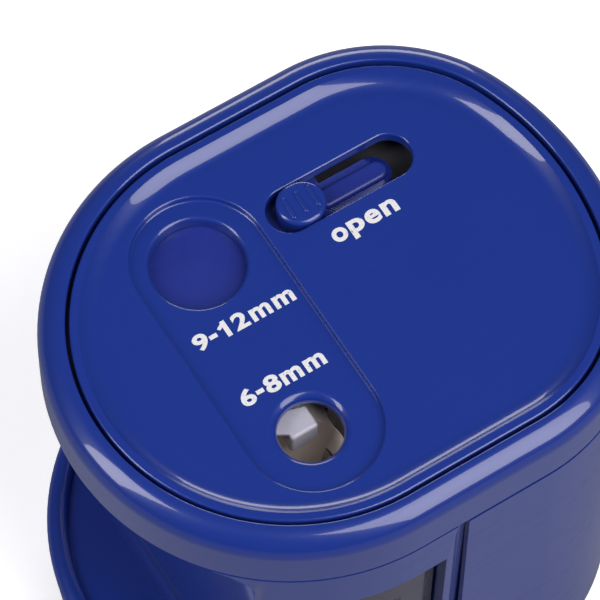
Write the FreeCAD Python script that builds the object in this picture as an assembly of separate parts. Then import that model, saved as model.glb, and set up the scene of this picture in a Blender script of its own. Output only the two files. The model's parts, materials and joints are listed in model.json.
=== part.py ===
import FreeCAD, Part
import math
import os

V = FreeCAD.Vector
UP = V(0, 0, 1)
os.makedirs("parts", exist_ok=True)

# ---------------------------------------------------------------------------
# Driving dimensions, in millimetres. +Z is up, -Y is the front with the bin,
# +X is the battery end. The origin is under the middle, on the table.
# ---------------------------------------------------------------------------

# Outline of the housing, seen from above: a half circle at the left end, two
# straight sides, and a blunter right end of two corner arcs and one wide arc.
HEAD_LENGTH = 79.8
HEAD_DEPTH = 66.0
CORNER_R = 26.0
END_R = 45.2

# Levels
CREST_Z = 76.1          # highest line of the rounded head
FOOT_H = 0.8            # the rubber feet stand this far below the base
BASE_H = 11.0           # base tray, from its bottom edge to its sunk floor
HEAD_H = 10.3           # head shell, from its lower edge to the crest

# Walls and gaps
WALL = 1.8
FLOOR_T = 1.6
SEAM = 0.3              # gap between a moving piece and what it passes
FIT = 0.05              # radial running clearance
SEAT = 0.05             # gap of a piece that is seated in another

# Base rim
RIM_R = 1.7             # the rim is a bead of this radius
RIM_OUT = 1.3           # how far the bead stands out beyond the head
SKIRT_OUT = 0.5         # how far the bottom edge stands out beyond the head
RIM_DROP = 0.4          # the bead's centre lies this far below the floor
BASE_IN = -1.3          # inner face of the base's wall
RAIL_W = 1.5            # two rails under the bin
RAIL_SIDE = 3.0
RAIL_HALF = 25.0
KNUCKLE_HALF = 9.0      # half width of the base plate's part of the hinge
HINGE_ROOM = 0.9        # from the hinge's middle to the base plate

# Body
RECESS = 12.0           # depth of the open recess under the head's left end
RECESS_R = 5.0          # rounding where the recess wall turns into the head
PLINTH_H = 8.4
PLINTH_OUT = 1.0
WINDOW_W = 20.9         # opening for the shavings bin
WINDOW_SIDE = 4.1       # from the recess wall to the opening
WINDOW_TOP = 9.0        # below the head's lower edge
WINDOW_SILL = 1.5       # above the base floor
COLUMN_W = 1.4          # post between the opening and the groove
GROOVE_W = 1.7          # groove between the post and the side cover
GROOVE_D = 0.9
FRAME_GAP = 1.2         # the inner wall stops this far below the gear frame
BOSS_L = 8.0            # the bosses that the gear frame is screwed to
LAP = 2.2               # the body's edge reaches this far behind the cover
COVER_FLARE = 0.9       # the cover's foot stands out this far beyond its top
TRAY_OUT = -1.3         # base wall behind the cover: outer and inner face
TRAY_IN = -2.4
TRAY_LAP = 3.0          # that wall starts this far left of the cover's edge

# Top panel
PANEL_GAP = 0.5         # groove round the panel
PANEL_INSET = 4.0       # from the head's wall to the middle of that groove
PANEL_DROP = 1.2        # the panel's flat lies this far below its border
BORDER_W = 1.2
SLOPE_W = 2.6
PANEL_T = 2.6
LEDGE_W = 0.75
LEDGE_T = 1.6
DISH_DROP = 0.8         # the long dish round the two holes
DISH_HALF = 9.3
DISH_SHIFT = 0.3
DISH_ROUND = 0.35

# Pencil holes
HOLE_SIDE = 15.5        # from the recess wall to the line of the holes
HOLE_PITCH = 28.0
SMALL_R = 4.4           # pencils of 6 to 8 mm
LARGE_R = 6.5           # pencils of 9 to 12 mm
SMALL_ROUND = 1.2       # rounding of each hole's upper edge
LARGE_ROUND = 0.6

# Slide and shutter
SLOT_START = 11.06      # from the line of the holes to the slot's left end
SLOT_L = 22.0
SLOT_W = 6.54
SLIDE_TRAVEL = 13.4
KNOB_L = 6.9
KNOB_W = 6.3
KNOB_REST = 1.55        # gap at the slot's left end when shut
KNOB_PROUD = 0.55
RIB_PITCH = 1.9
SHUTTER_T = 1.2
SHUTTER_LAP = 0.55      # how far the shutter covers beyond a hole's edge
TAIL_L = 13.9
TAIL_HALF = 2.6
BAR_HALF = 1.5
BAR_H = 0.8
KNOB_ROUND = 0.6
PEG_R = 1.5
RIB_L = 2.8
RIB_HALF = 0.3
RIB_H = 0.2
SLOT_ROUND = 0.3

# Gear train
CUTTER_TEETH = 30
DRIVE_TEETH = 20
MODULE = 0.8
WHEEL_TEETH = 39
PINION_TEETH = 10
FINE_MODULE = 0.4
GEAR_W = 4.0
WHEEL_W = 1.8
PRESSURE = math.radians(20)
BACKLASH = 0.12

# Cutters
CONE_SLOPE = 0.28       # radius lost for each mm of depth
SMALL_CONE_R = 4.9
LARGE_CONE_R = 7.0
TIP_R = 0.6
BLOCK_WALL = 1.7
HUB_WALL = 1.5
CUTTER_TOP = 10.0       # below the top of the head's border
HUB_L = 5.2
BLADE_T = 0.5
BLADE_BITE = 0.25
BLADE_SCREW_R = 1.7
BLADE_SCREW_H = 0.9
BLADE_SHANK_R = 0.8
BLADE_SHANK_L = 2.4
BLADE_SCREW_Z = 6.0     # up the blade from the narrow end of the bore
BLADE_SCREW_AT = 0.6    # across the blade, as a share of its width

# Guide sleeves, levers and switches
SLEEVE_WALL = 0.8
LEVER_T = 1.0
LEVER_BACK = 9.6        # pivot, to the left of the line of holes
LEVER_IN = 9.0          # pivot, from the hole's axis towards the middle
PADDLE_W = 4.2
PADDLE_T = 3.6
PADDLE_IN = 3.7         # how far the paddle reaches into the sleeve
PIN_R = 0.8
FLANGE_T = 0.6          # flange of a sleeve, under the deck
FLANGE_OUT = 0.5
SWITCH_LEFT = 3.8       # ends of the switches, from the line of the holes
SWITCH_RIGHT = 9.0
SWITCH_T = 2.9
SWITCH_GAP = 0.1        # half of the gap between the two switches
PLUNGER_R = 0.55
PLUNGER_L = 0.5

# Plates of the inner frame
PLATE_T = 1.6
POST_R = 2.4
COLLAR_WALL = 1.0
SCREW_HOLE_R = 1.1
DRIVE_HUB_R = 3.4
DECK_WINDOW = (4.2, 9.6)    # to the left and right of the line of the holes

# Motor and cells
MOTOR_R = 10.2
MOTOR_L = 32.0
SHAFT_R = 1.0
MOTOR_BOSS_R = 3.0
MOTOR_SCREW_Y = 6.2
MOTOR_SCREW_R = 0.8
CAN_WALL = 0.8
CAP_H = 2.5
BEARING_R = 3.0
TAB_Y = 6.0
TAB_HALF = 1.2
TAB_T = 0.5
TAB_L = 4.0
ROTOR_R = 7.2
ROTOR_L = 14.0
ROTOR_Z = 6.0           # above the motor's lower end
ROTOR_SLOT = 1.4
MAGNET_R = 7.6
MAGNET_L = 16.0
MAGNET_GAP = 5.0
AXLE_R = 1.25
CELL_R = 7.1
CELL_L = 49.2
CELL_NUB_R = 2.7
CELL_NUB_H = 1.2
CELL_PAIR = 15.2        # spacing of the two cells at the right end
CELL_END_GAP = 1.5      # from the end wall to those two
CELL_SIDE_X = 8.5       # the side cells, right of the lid's hinge
CELL_SIDE_GAP = 1.3     # from the side wall to them
LID_BACK = 8.5          # the lid's hinge, right of the side cover's edge
HINGE_W = 24.0
GRIP_HALF = 6.0         # grip grooves across the lid, near its free edge
GRIP_X = 12.0
GRIP_PITCH = 1.6
GRIP_W = 0.7
GRIP_D = 0.4
RACK_AT = 0.55          # height of the cell rack, as a share of a cell
BOARD_T = 1.0
CONTACT_R = 4.0
SPRING_H = 2.7
SPRING_WIRE = 0.4
SPRING_R = 2.6
SPRING_PITCH = 0.8
SPRING_CONE = 12
SPRING_SEAT = 0.1 + SPRING_WIRE / 2

# Bin
BIN_T = 1.4
BIN_H = 26.0            # low walls, so that the bin passes under the cutters
BIN_RECESS = 2.2        # the bin's front lies this far behind the wall
BIN_BACK_GAP = 8.7      # from the bin's back to the head's back wall
BIN_LIFT = 0.1          # the bin runs this far above the sill
BIN_ROUND = 1.6
PULL_HALF = 6.0         # the bar to pull the bin out by
PULL_H = 2.2
PULL_DROP = 18.0        # from the window's top to the bar's foot
PULL_BACK = 0.4         # the bar ends this far inside the body's wall
BIN_SWITCH_W = 8.6
BIN_SWITCH_H = 8.0
BIN_SWITCH_T = 4.2
BIN_SWITCH_Z = 32.0

# Feet
FOOT_R = 3.5
FOOT_SINK = 0.4
FOOT_LEFT = 1.9         # centres, from the recess wall, the right end and the side
FOOT_RIGHT = 11.2
FOOT_SIDE = 16.0

# Screws
SCREW_HEAD = 0.45       # a head's height, as a share of its radius
PILOT_R = 0.95
BASE_SCREW = (6.0, 1.9, 1.0)    # length, head radius and shank radius
MOTOR_SCREW = (3.6, 1.4, 0.75)
SCREW_SINK = 0.95       # the base screws' heads are sunk this far
FRAME_SCREW = (8.0, 1.8, 0.9)
DECK_SCREW = (6.5, 1.6, 0.9)

# ---------------------------------------------------------------------------
# Places that follow from the sizes above
# ---------------------------------------------------------------------------
BORDER_Z = CREST_Z - 0.3
FLAT_Z = BORDER_Z - PANEL_DROP
DISH_Z = FLAT_Z - DISH_DROP
PANEL_Z = FLAT_Z - PANEL_T
HEAD_Z = CREST_Z - HEAD_H
FLOOR_Z = FOOT_H + BASE_H
GEAR_TOP = BORDER_Z - CUTTER_TOP

BODY_X = -HEAD_LENGTH / 2 + RECESS
HOLE_X = BODY_X + HOLE_SIDE
SMALL_Y = -HOLE_PITCH / 2
LARGE_Y = HOLE_PITCH / 2
WINDOW_X = BODY_X + WINDOW_SIDE
COLUMN_X = WINDOW_X + WINDOW_W
GROOVE_X = COLUMN_X + COLUMN_W
COVER_X = GROOVE_X + GROOVE_W
SLOT_X = HOLE_X + SLOT_START
KNOB_X = SLOT_X + KNOB_REST + KNOB_L / 2
WINDOW_Z = HEAD_Z - WINDOW_TOP
SILL_Z = FLOOR_Z + WINDOW_SILL
BIN_BACK = HEAD_DEPTH / 2 - BIN_BACK_GAP

STEP_DIST = MODULE * (CUTTER_TEETH + DRIVE_TEETH) / 2
DRIVE_X = HOLE_X + math.sqrt(STEP_DIST ** 2 - LARGE_Y ** 2)
MOTOR_X = DRIVE_X + FINE_MODULE * (WHEEL_TEETH + PINION_TEETH) / 2

GEAR_Z = GEAR_TOP - GEAR_W
WHEEL_Z = GEAR_Z - 0.6 - WHEEL_W
FRAME_Z = WHEEL_Z - 0.6 - PLATE_T
DECK_Z = GEAR_TOP + 1.8
LEVER_Z = DECK_Z + PLATE_T + 0.15
SHUTTER_Z = PANEL_Z - 0.2 - SHUTTER_T

CELL_Z = FOOT_H + FLOOR_T + SPRING_H + 0.1


# ---------------------------------------------------------------------------
# Shapes
# ---------------------------------------------------------------------------
def box(x0, x1, y0, y1, z0, z1):
    return Part.makeBox(x1 - x0, y1 - y0, z1 - z0, V(x0, y0, z0))


def cyl(x, y, z0, z1, radius):
    return Part.makeCylinder(radius, z1 - z0, V(x, y, z0))


def tube(x, y, z0, z1, outer, inner):
    return cyl(x, y, z0, z1, outer).cut(cyl(x, y, z0, z1, inner))


def cone(x, y, z0, z1, r0, r1):
    return Part.makeCone(r0, r1, z1 - z0, V(x, y, z0))


def outline(grow, z):
    """The housing's outline, grown outwards, as a closed wire at height z."""
    half = HEAD_DEPTH / 2 + grow
    left = V(-HEAD_LENGTH / 2 + HEAD_DEPTH / 2, 0, z)
    end = V(HEAD_LENGTH / 2 - END_R, 0, z)
    corner_y = HEAD_DEPTH / 2 - CORNER_R
    reach = math.sqrt((END_R - CORNER_R) ** 2 - corner_y ** 2)
    corner = V(end.x + reach, corner_y, z)
    turn = math.atan2(corner_y, reach)
    radius = CORNER_R + grow

    def on_corner(angle, side):
        x = corner.x + radius * math.cos(angle)
        y = corner.y + radius * math.sin(angle)
        return V(x, side * y, z)

    middle = (turn + math.pi / 2) / 2
    a = V(left.x, half, z)
    b = V(left.x, -half, z)
    c = on_corner(math.pi / 2, -1)
    d = on_corner(turn, -1)
    e = on_corner(turn, 1)
    f = on_corner(math.pi / 2, 1)
    edges = [
        Part.Arc(a, V(left.x - half, 0, z), b).toShape(),
        Part.makeLine(b, c),
        Part.Arc(c, on_corner(middle, -1), d).toShape(),
        Part.Arc(d, V(end.x + END_R + grow, 0, z), e).toShape(),
        Part.Arc(e, on_corner(middle, 1), f).toShape(),
        Part.makeLine(f, a),
    ]
    return Part.Wire(edges)


def slab(grow, z0, z1):
    return Part.Face(outline(grow, z0)).extrude(V(0, 0, z1 - z0))


def ring(outer, inner, z0, z1):
    return slab(outer, z0, z1).cut(slab(inner, z0, z1))


def right_of(x):
    """A block that holds everything to the right of x."""
    return box(x, x + 200, -200, 200, -50, 200)


def left_of(x):
    return box(x - 200, x, -200, 200, -50, 200)


def band(edges):
    """Sweeps a closed profile, drawn as (outwards, height), round the outline."""
    profile = Part.Wire(edges)
    profile.translate(V(0, HEAD_DEPTH / 2, 0))
    path = outline(0, 0)
    return path.makePipeShell([profile], True, False)


def p(out, z):
    """A profile point: out from the head's wall, and height."""
    return V(-HEAD_LENGTH / 2 + HEAD_DEPTH / 2, out, z)


def line(a, b):
    """A straight edge, or nothing where both ends are the same point."""
    return Part.makeLine(a, b) if a.distanceToPoint(b) > 1e-7 else None


def arc(a, m, b):
    return Part.Arc(a, m, b).toShape()


def quarter(centre_out, centre_z, radius, start, end):
    """Profile arc between two angles, measured from outwards to up."""
    def at(degrees):
        angle = math.radians(degrees)
        return p(centre_out + radius * math.cos(angle),
                 centre_z + radius * math.sin(angle))
    return arc(at(start), at((start + end) / 2), at(end))


def stadium(x, y0, y1, radius, z):
    """A slot shape that runs along Y, with round ends centred on y0 and y1."""
    return Part.Wire([
        arc(V(x + radius, y1, z), V(x, y1 + radius, z), V(x - radius, y1, z)),
        line(V(x - radius, y1, z), V(x - radius, y0, z)),
        arc(V(x - radius, y0, z), V(x, y0 - radius, z), V(x + radius, y0, z)),
        line(V(x + radius, y0, z), V(x + radius, y1, z)),
    ])


def slot(x0, x1, y, radius, z):
    """A slot shape that runs along X, from end to end."""
    a = x0 + radius
    b = x1 - radius
    return Part.Wire([
        arc(V(a, y + radius, z), V(x0, y, z), V(a, y - radius, z)),
        line(V(a, y - radius, z), V(b, y - radius, z)),
        arc(V(b, y - radius, z), V(x1, y, z), V(b, y + radius, z)),
        line(V(b, y + radius, z), V(a, y + radius, z)),
    ])


def raise_up(wire, height):
    return Part.Face(wire).extrude(V(0, 0, height))


def soften(solid, radius, chosen):
    """Rounds the edges for which chosen(edge) is true."""
    edges = [edge for edge in solid.Edges if chosen(edge)]
    return solid.makeFillet(radius, edges)


def at_height(edge, z):
    box_ = edge.BoundBox
    return abs(box_.ZMin - z) < 1e-4 and abs(box_.ZMax - z) < 1e-4


def group(solids):
    """Separate solids of one kind, kept together as one node."""
    return Part.makeCompound(solids)


def save(node, shape):
    shape.exportStep("parts/" + node + ".step")


# ---------------------------------------------------------------------------
# Involute gears
# ---------------------------------------------------------------------------
def involute(angle):
    return math.tan(angle) - angle


def gear(x, y, z0, width, teeth, module, phase, addendum=1.0):
    """A spur gear with a tooth centred on phase, in radians."""
    pitch_r = module * teeth / 2
    base_r = pitch_r * math.cos(PRESSURE)
    tip_r = pitch_r + addendum * module
    root_r = pitch_r - 1.25 * module
    half_pitch = (math.pi / 2 - BACKLASH / module) / teeth
    start_r = max(base_r, root_r)

    def half_angle(radius):
        pressure = math.acos(min(1.0, base_r / radius))
        return half_pitch + involute(PRESSURE) - involute(pressure)

    def point(radius, angle):
        return V(x + radius * math.cos(angle), y + radius * math.sin(angle), z0)

    steps = 4
    radii = [start_r + (tip_r - start_r) * i / steps for i in range(steps + 1)]
    foot = half_angle(start_r)
    edges = []
    for tooth in range(teeth):
        middle = phase + 2 * math.pi * tooth / teeth
        after = middle + 2 * math.pi / teeth
        up = [point(r, middle - half_angle(r)) for r in radii]
        down = [point(r, middle + half_angle(r)) for r in reversed(radii)]
        low_left = point(root_r, middle - foot)
        low_right = point(root_r, middle + foot)
        for flank in (up, down):
            curve = Part.BSplineCurve()
            curve.interpolate(flank)
            edges.append(curve.toShape())
        edges.append(arc(up[-1], point(tip_r, middle), down[0]))
        if start_r > root_r + 1e-6:
            edges.append(line(low_left, up[0]))
            edges.append(line(down[-1], low_right))
        next_low = point(root_r, after - foot)
        edges.append(arc(low_right, point(root_r, (middle + after) / 2), next_low))
    wire = Part.Wire(Part.__sortEdges__(edges))
    return Part.Face(wire).extrude(V(0, 0, width))


def mesh_phase(phase, teeth, direction, other_teeth):
    """The other gear's phase, so that it meshes in that direction."""
    pitch = 2 * math.pi / teeth
    offset = (phase - direction + pitch / 2) % pitch - pitch / 2
    gap = direction + math.pi - offset * teeth / other_teeth
    return gap + math.pi / other_teeth


# ---------------------------------------------------------------------------
# Base: tray, bottom plate, feet, screws
# ---------------------------------------------------------------------------
def pairs(places):
    """The same places in front and at the back."""
    return [(x, side * y) for x, y in places for side in (-1, 1)]


LID_X = COVER_X + LID_BACK
LID_HINGE_Z = FOOT_H + FLOOR_T / 2
BOSS_R = FOOT_R + 0.7
FEET = pairs([
    (BODY_X + FOOT_LEFT, HEAD_DEPTH / 2 - FOOT_SIDE),
    (HEAD_LENGTH / 2 - FOOT_RIGHT, HEAD_DEPTH / 2 - FOOT_SIDE + 2.6),
])
BASE_SCREWS = pairs([
    (HOLE_X - 1.6, HEAD_DEPTH / 2 - 9.0),
    (LID_X - 4.7, HEAD_DEPTH / 2 - 7.0),
])
CELL_X = HEAD_LENGTH / 2 - WALL - CELL_R - CELL_END_GAP
CELLS = pairs([
    (CELL_X, CELL_PAIR / 2),
    (LID_X + CELL_SIDE_X, HEAD_DEPTH / 2 - WALL - CELL_R - CELL_SIDE_GAP),
])


def rim_band(inner_turn, inner_out, inner_z):
    """The base's wall with its bead, which ends inwards at inner_out."""
    rim_z = FLOOR_Z - RIM_DROP
    rim_out = RIM_OUT - RIM_R
    under_z = FLOOR_Z - FLOOR_T
    start = p(rim_out + RIM_R * math.cos(inner_turn), rim_z + RIM_R * math.sin(inner_turn))
    rows = [
        line(start, p(inner_out, inner_z)),
        line(p(inner_out, inner_z), p(inner_out, under_z)),
        line(p(inner_out, under_z), p(BASE_IN, under_z)),
        line(p(BASE_IN, under_z), p(BASE_IN, FOOT_H)),
        line(p(BASE_IN, FOOT_H), p(SKIRT_OUT - 0.5, FOOT_H)),
        quarter(SKIRT_OUT - 0.5, FOOT_H + 0.5, 0.5, -90, 0),
        line(p(SKIRT_OUT, FOOT_H + 0.5), p(RIM_OUT, rim_z)),
        quarter(rim_out, rim_z, RIM_R, 0, math.degrees(inner_turn)),
    ]
    return Part.makeSolid(band([row for row in rows if row]))


def base_tray():
    rim_out = RIM_OUT - RIM_R
    open_turn = math.pi - math.asin(RIM_DROP / RIM_R)
    open_out = rim_out + RIM_R * math.cos(open_turn)
    seat_turn = math.acos((SEAT - rim_out) / RIM_R)
    seat_z = FLOOR_Z - RIM_DROP + RIM_R * math.sin(seat_turn)
    split = BODY_X - PLINTH_OUT - SEAT
    # round the recess the whole bead shows; along the body its inner half is
    # cut away for the body to stand in; behind the side cover there is none
    free = rim_band(open_turn, open_out, FLOOR_Z).common(left_of(split))
    held = rim_band(seat_turn, SEAT, seat_z)
    held = held.fuse(ring(SEAT + 0.2, -WALL - 1, FLOOR_Z - FLOOR_T, FLOOR_Z))
    held = held.common(right_of(split)).common(left_of(COVER_X - SEAT))
    hidden = ring(TRAY_OUT, TRAY_IN, FOOT_H, FLOOR_Z).common(right_of(COVER_X - TRAY_LAP))
    floor = slab(-WALL, FLOOR_Z - FLOOR_T, FLOOR_Z)
    tray = free.fuse([held, floor, hidden])
    well = slab(TRAY_IN, FOOT_H, FLOOR_Z + 1).common(right_of(LID_X + 0.4))
    tray = tray.cut(well)
    for x, y in FEET:
        boss = cyl(x, y, FOOT_H, FLOOR_Z - FLOOR_T / 2, BOSS_R)
        tray = tray.fuse(boss)
        tray = tray.cut(cyl(x, y, FOOT_H, FOOT_H + FOOT_SINK, FOOT_R + SEAT))
    for x, y in BASE_SCREWS:
        z = FOOT_H + FLOOR_T + SEAT
        tray = tray.fuse(cyl(x, y, z, FLOOR_Z - FLOOR_T / 2, 2.4))
        tray = tray.cut(cyl(x, y, z, z + BASE_SCREW[0], BASE_SCREW[2] + SEAT))
    for x in (WINDOW_X + RAIL_SIDE, COLUMN_X - RAIL_SIDE - RAIL_W):
        tray = tray.fuse(box(x, x + RAIL_W, -RAIL_HALF, RAIL_HALF,
                             FLOOR_Z - 0.2, SILL_Z - 0.2))
    return tray.removeSplitter()


def base_plate():
    z1 = FOOT_H + FLOOR_T
    plate = slab(BASE_IN - SEAM, FOOT_H, z1).common(left_of(COVER_X - TRAY_LAP - SEAM))
    plate = plate.fuse(slab(TRAY_IN - SEAM, FOOT_H, z1))
    plate = plate.common(left_of(LID_X - HINGE_ROOM - SEAM))
    for x, y in FEET:
        plate = plate.cut(cyl(x, y, 0, 10, BOSS_R + SEAT))
    for x, y in BASE_SCREWS:
        plate = plate.cut(cyl(x, y, 0, 10, 1.3))
        plate = plate.cut(cyl(x, y, 0, FOOT_H + SCREW_SINK, BASE_SCREW[1] + 0.4))
    knuckle = box(LID_X - 2, LID_X - HINGE_ROOM - SEAM, -KNUCKLE_HALF, KNUCKLE_HALF,
                  FOOT_H, FOOT_H + FLOOR_T)
    return plate.fuse(knuckle).removeSplitter()


def screw(x, y, seat, length, head_r, shank_r, way):
    """A pan-head screw with a cross recess. Its head rests on the height seat,
    and its shank runs up from there for way 1, down for way -1."""
    head_h = head_r * SCREW_HEAD

    def span(a, b, radius):
        ends = sorted((seat + way * a, seat + way * b))
        return cyl(x, y, ends[0], ends[1], radius)

    body = span(-head_h, 0, head_r).fuse(span(0, length, shank_r))
    top = sorted((seat - way * head_h, seat - way * (head_h - 0.5)))
    for wide, deep in ((head_r * 1.2, 0.4), (0.4, head_r * 1.2)):
        body = body.cut(box(x - wide / 2, x + wide / 2, y - deep / 2, y + deep / 2,
                            top[0], top[1]))
    return body.removeSplitter()


# ---------------------------------------------------------------------------
# Body: left shell with the bin bay, and the side cover over the battery end
# ---------------------------------------------------------------------------
BODY_TOP = HEAD_Z
BOSSES = [(BODY_X + WALL + 1.9, -9.0), (HOLE_X - 6.6, HEAD_DEPTH / 2 - 6.8),
          (HOLE_X + 7.4, HEAD_DEPTH / 2 - 4.4), (GROOVE_X + 1.9, 4.3 - HEAD_DEPTH / 2)]


def recess_cut():
    """What is missing at the left: a block with rounded inner edges."""
    block = box(BODY_X - 60, BODY_X, -60, 60, FLOOR_Z + PLINTH_H, BODY_TOP + 1e-3)
    block = soften(block, RECESS_R, lambda e: at_height(e, BODY_TOP + 1e-3)
                   and abs(e.BoundBox.XMin - BODY_X) < 1e-4)
    plinth = box(BODY_X - 60, BODY_X - PLINTH_OUT, -60, 60, FLOOR_Z - 1,
                 FLOOR_Z + PLINTH_H)
    return block.fuse(plinth)


def body_shell():
    outer = slab(0, FLOOR_Z + SEAT, BODY_TOP - SEAT)
    inner = slab(-WALL, FLOOR_Z - 1, BODY_TOP + 1)
    inner = inner.common(right_of(BODY_X + WALL)).common(left_of(COLUMN_X))
    shell = outer.cut(recess_cut()).cut(inner)
    # the shell ends a little way behind the side cover's edge
    shell = shell.cut(right_of(COVER_X + LAP))
    lap = ring(1, -GROOVE_D, 0, 100).common(right_of(GROOVE_X))
    shell = shell.cut(lap)
    bay = slab(-WALL, FLOOR_Z - 1, 100).common(right_of(COLUMN_X + WALL))
    shell = shell.cut(bay)
    window = box(WINDOW_X, COLUMN_X, -60, -10, SILL_Z, WINDOW_Z)
    shell = shell.cut(window)
    # the partition stops below the gear frame
    gap = slab(-WALL, FRAME_Z - FRAME_GAP, 100)
    shell = shell.cut(gap.common(box(COLUMN_X - 1, COLUMN_X + WALL + 1, -50, 50, 0, 100)))
    for x, y in BOSSES:
        boss = cyl(x, y, FRAME_Z - BOSS_L, FRAME_Z - SEAT, POST_R)
        shell = shell.fuse(boss.common(slab(-WALL + 0.2, 0, 100)))
        shell = shell.cut(cyl(x, y, FRAME_Z - BOSS_L + 1, FRAME_Z, PILOT_R))
    return shell.removeSplitter()


def side_cover():
    """The cover flares a little towards its foot, and reaches down to the table."""
    z0 = FOOT_H
    z1 = BODY_TOP - SEAM

    def flared(thickness):
        corners = [p(0, z1), p(COVER_FLARE, z0),
                   p(COVER_FLARE - thickness, z0), p(-thickness, z1)]
        sides = [line(a, b) for a, b in zip(corners, corners[1:] + corners[:1])]
        return Part.makeSolid(band(sides))

    skin = flared(GROOVE_D - SEAT).common(right_of(COVER_X))
    wall = flared(WALL).common(right_of(COVER_X + LAP + SEAT))
    return skin.fuse(wall).removeSplitter()


# ---------------------------------------------------------------------------
# Head: rounded shell, top panel
# ---------------------------------------------------------------------------
def head_shell():
    lip = 0.35
    groove = -PANEL_INSET + PANEL_GAP / 2
    shoulder = PANEL_INSET - PANEL_GAP / 2 - lip
    ledge_in = -PANEL_INSET - PANEL_GAP / 2 - LEDGE_W
    ledge_z = PANEL_Z - LEDGE_T
    edge_r = 0.5
    ring_body = band([
        quarter(-edge_r, HEAD_Z + edge_r, edge_r, -90, 0),
        line(p(0, HEAD_Z + edge_r), p(0, CREST_Z - shoulder)),
        quarter(-shoulder, CREST_Z - shoulder, shoulder, 0, 90),
        quarter(-shoulder, CREST_Z - lip, lip, 90, 180),
        line(p(groove, CREST_Z - lip), p(groove, PANEL_Z)),
        line(p(groove, PANEL_Z), p(ledge_in, PANEL_Z)),
        line(p(ledge_in, PANEL_Z), p(ledge_in, ledge_z)),
        line(p(ledge_in, ledge_z), p(-WALL, ledge_z)),
        line(p(-WALL, ledge_z), p(-WALL, HEAD_Z)),
        line(p(-WALL, HEAD_Z), p(-edge_r, HEAD_Z)),
    ])
    bottom = slab(-WALL + 0.3, HEAD_Z, HEAD_Z + FLOOR_T)
    inside = slab(-WALL - 0.01, HEAD_Z - 1, HEAD_Z + 5)
    bottom = bottom.cut(inside.common(right_of(BODY_X + WALL)))
    return Part.makeSolid(ring_body).fuse(bottom).removeSplitter()


def top_panel():
    edge = -PANEL_INSET - PANEL_GAP / 2
    lip = 0.35
    drop = BORDER_Z - FLAT_Z
    top_in = edge - BORDER_W
    foot = top_in - SLOPE_W
    hollow_r = (SLOPE_W ** 2 + drop ** 2) / (2 * drop)
    turn = math.degrees(math.acos(1 - drop / hollow_r))
    border = band([
        line(p(edge, PANEL_Z), p(edge, BORDER_Z - lip)),
        quarter(edge - lip, BORDER_Z - lip, lip, 0, 90),
        line(p(edge - lip, BORDER_Z), p(top_in, BORDER_Z)),
        quarter(foot, FLAT_Z + hollow_r, hollow_r, turn - 90, -90),
        line(p(foot, FLAT_Z), p(foot, PANEL_Z)),
        line(p(foot, PANEL_Z), p(edge, PANEL_Z)),
    ])
    panel = Part.makeSolid(border).fuse(slab(foot + 0.1, PANEL_Z, FLAT_Z))
    dish = raise_up(stadium(HOLE_X + DISH_SHIFT, SMALL_Y, LARGE_Y, DISH_HALF, DISH_Z), 5)
    dish = soften(dish, DISH_ROUND, lambda e: at_height(e, DISH_Z))
    panel = panel.cut(dish).removeSplitter()
    panel = soften(panel, DISH_ROUND, lambda e: at_height(e, FLAT_Z)
                   and e.BoundBox.XMax < HOLE_X + DISH_HALF + 2
                   and e.BoundBox.XMin > HOLE_X - DISH_HALF - 2)
    holes = ((SMALL_Y, SMALL_R, SMALL_ROUND), (LARGE_Y, LARGE_R, LARGE_ROUND))
    for y, radius, edge_r in holes:
        panel = panel.cut(cyl(HOLE_X, y, PANEL_Z - 1, CREST_Z, radius))
        panel = soften(panel, edge_r, lambda e: at_height(e, DISH_Z)
                       and abs(e.BoundBox.XLength - 2 * radius) < 1e-3
                       and abs(e.BoundBox.YMin - (y - radius)) < 1e-3)
    opening = slot(SLOT_X, SLOT_X + SLOT_L, LARGE_Y, SLOT_W / 2, PANEL_Z - 1)
    panel = panel.cut(raise_up(opening, 10))
    # a groove under the panel lets the shutter's bar run on beyond the slot
    groove = slot(SLOT_X + SLOT_L - SLOT_W, KNOB_X + TAIL_L + SLIDE_TRAVEL, LARGE_Y,
                  BAR_HALF + SEAM, PANEL_Z - 1)
    panel = panel.cut(raise_up(groove, BAR_H + 1 + 0.2))
    return soften(panel, SLOT_ROUND, lambda e: at_height(e, FLAT_Z)
                  and e.BoundBox.XMin > SLOT_X - 0.1
                  and e.BoundBox.YMin > LARGE_Y - SLOT_W
                  and e.BoundBox.XMax < SLOT_X + SLOT_L + 0.1)


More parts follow.
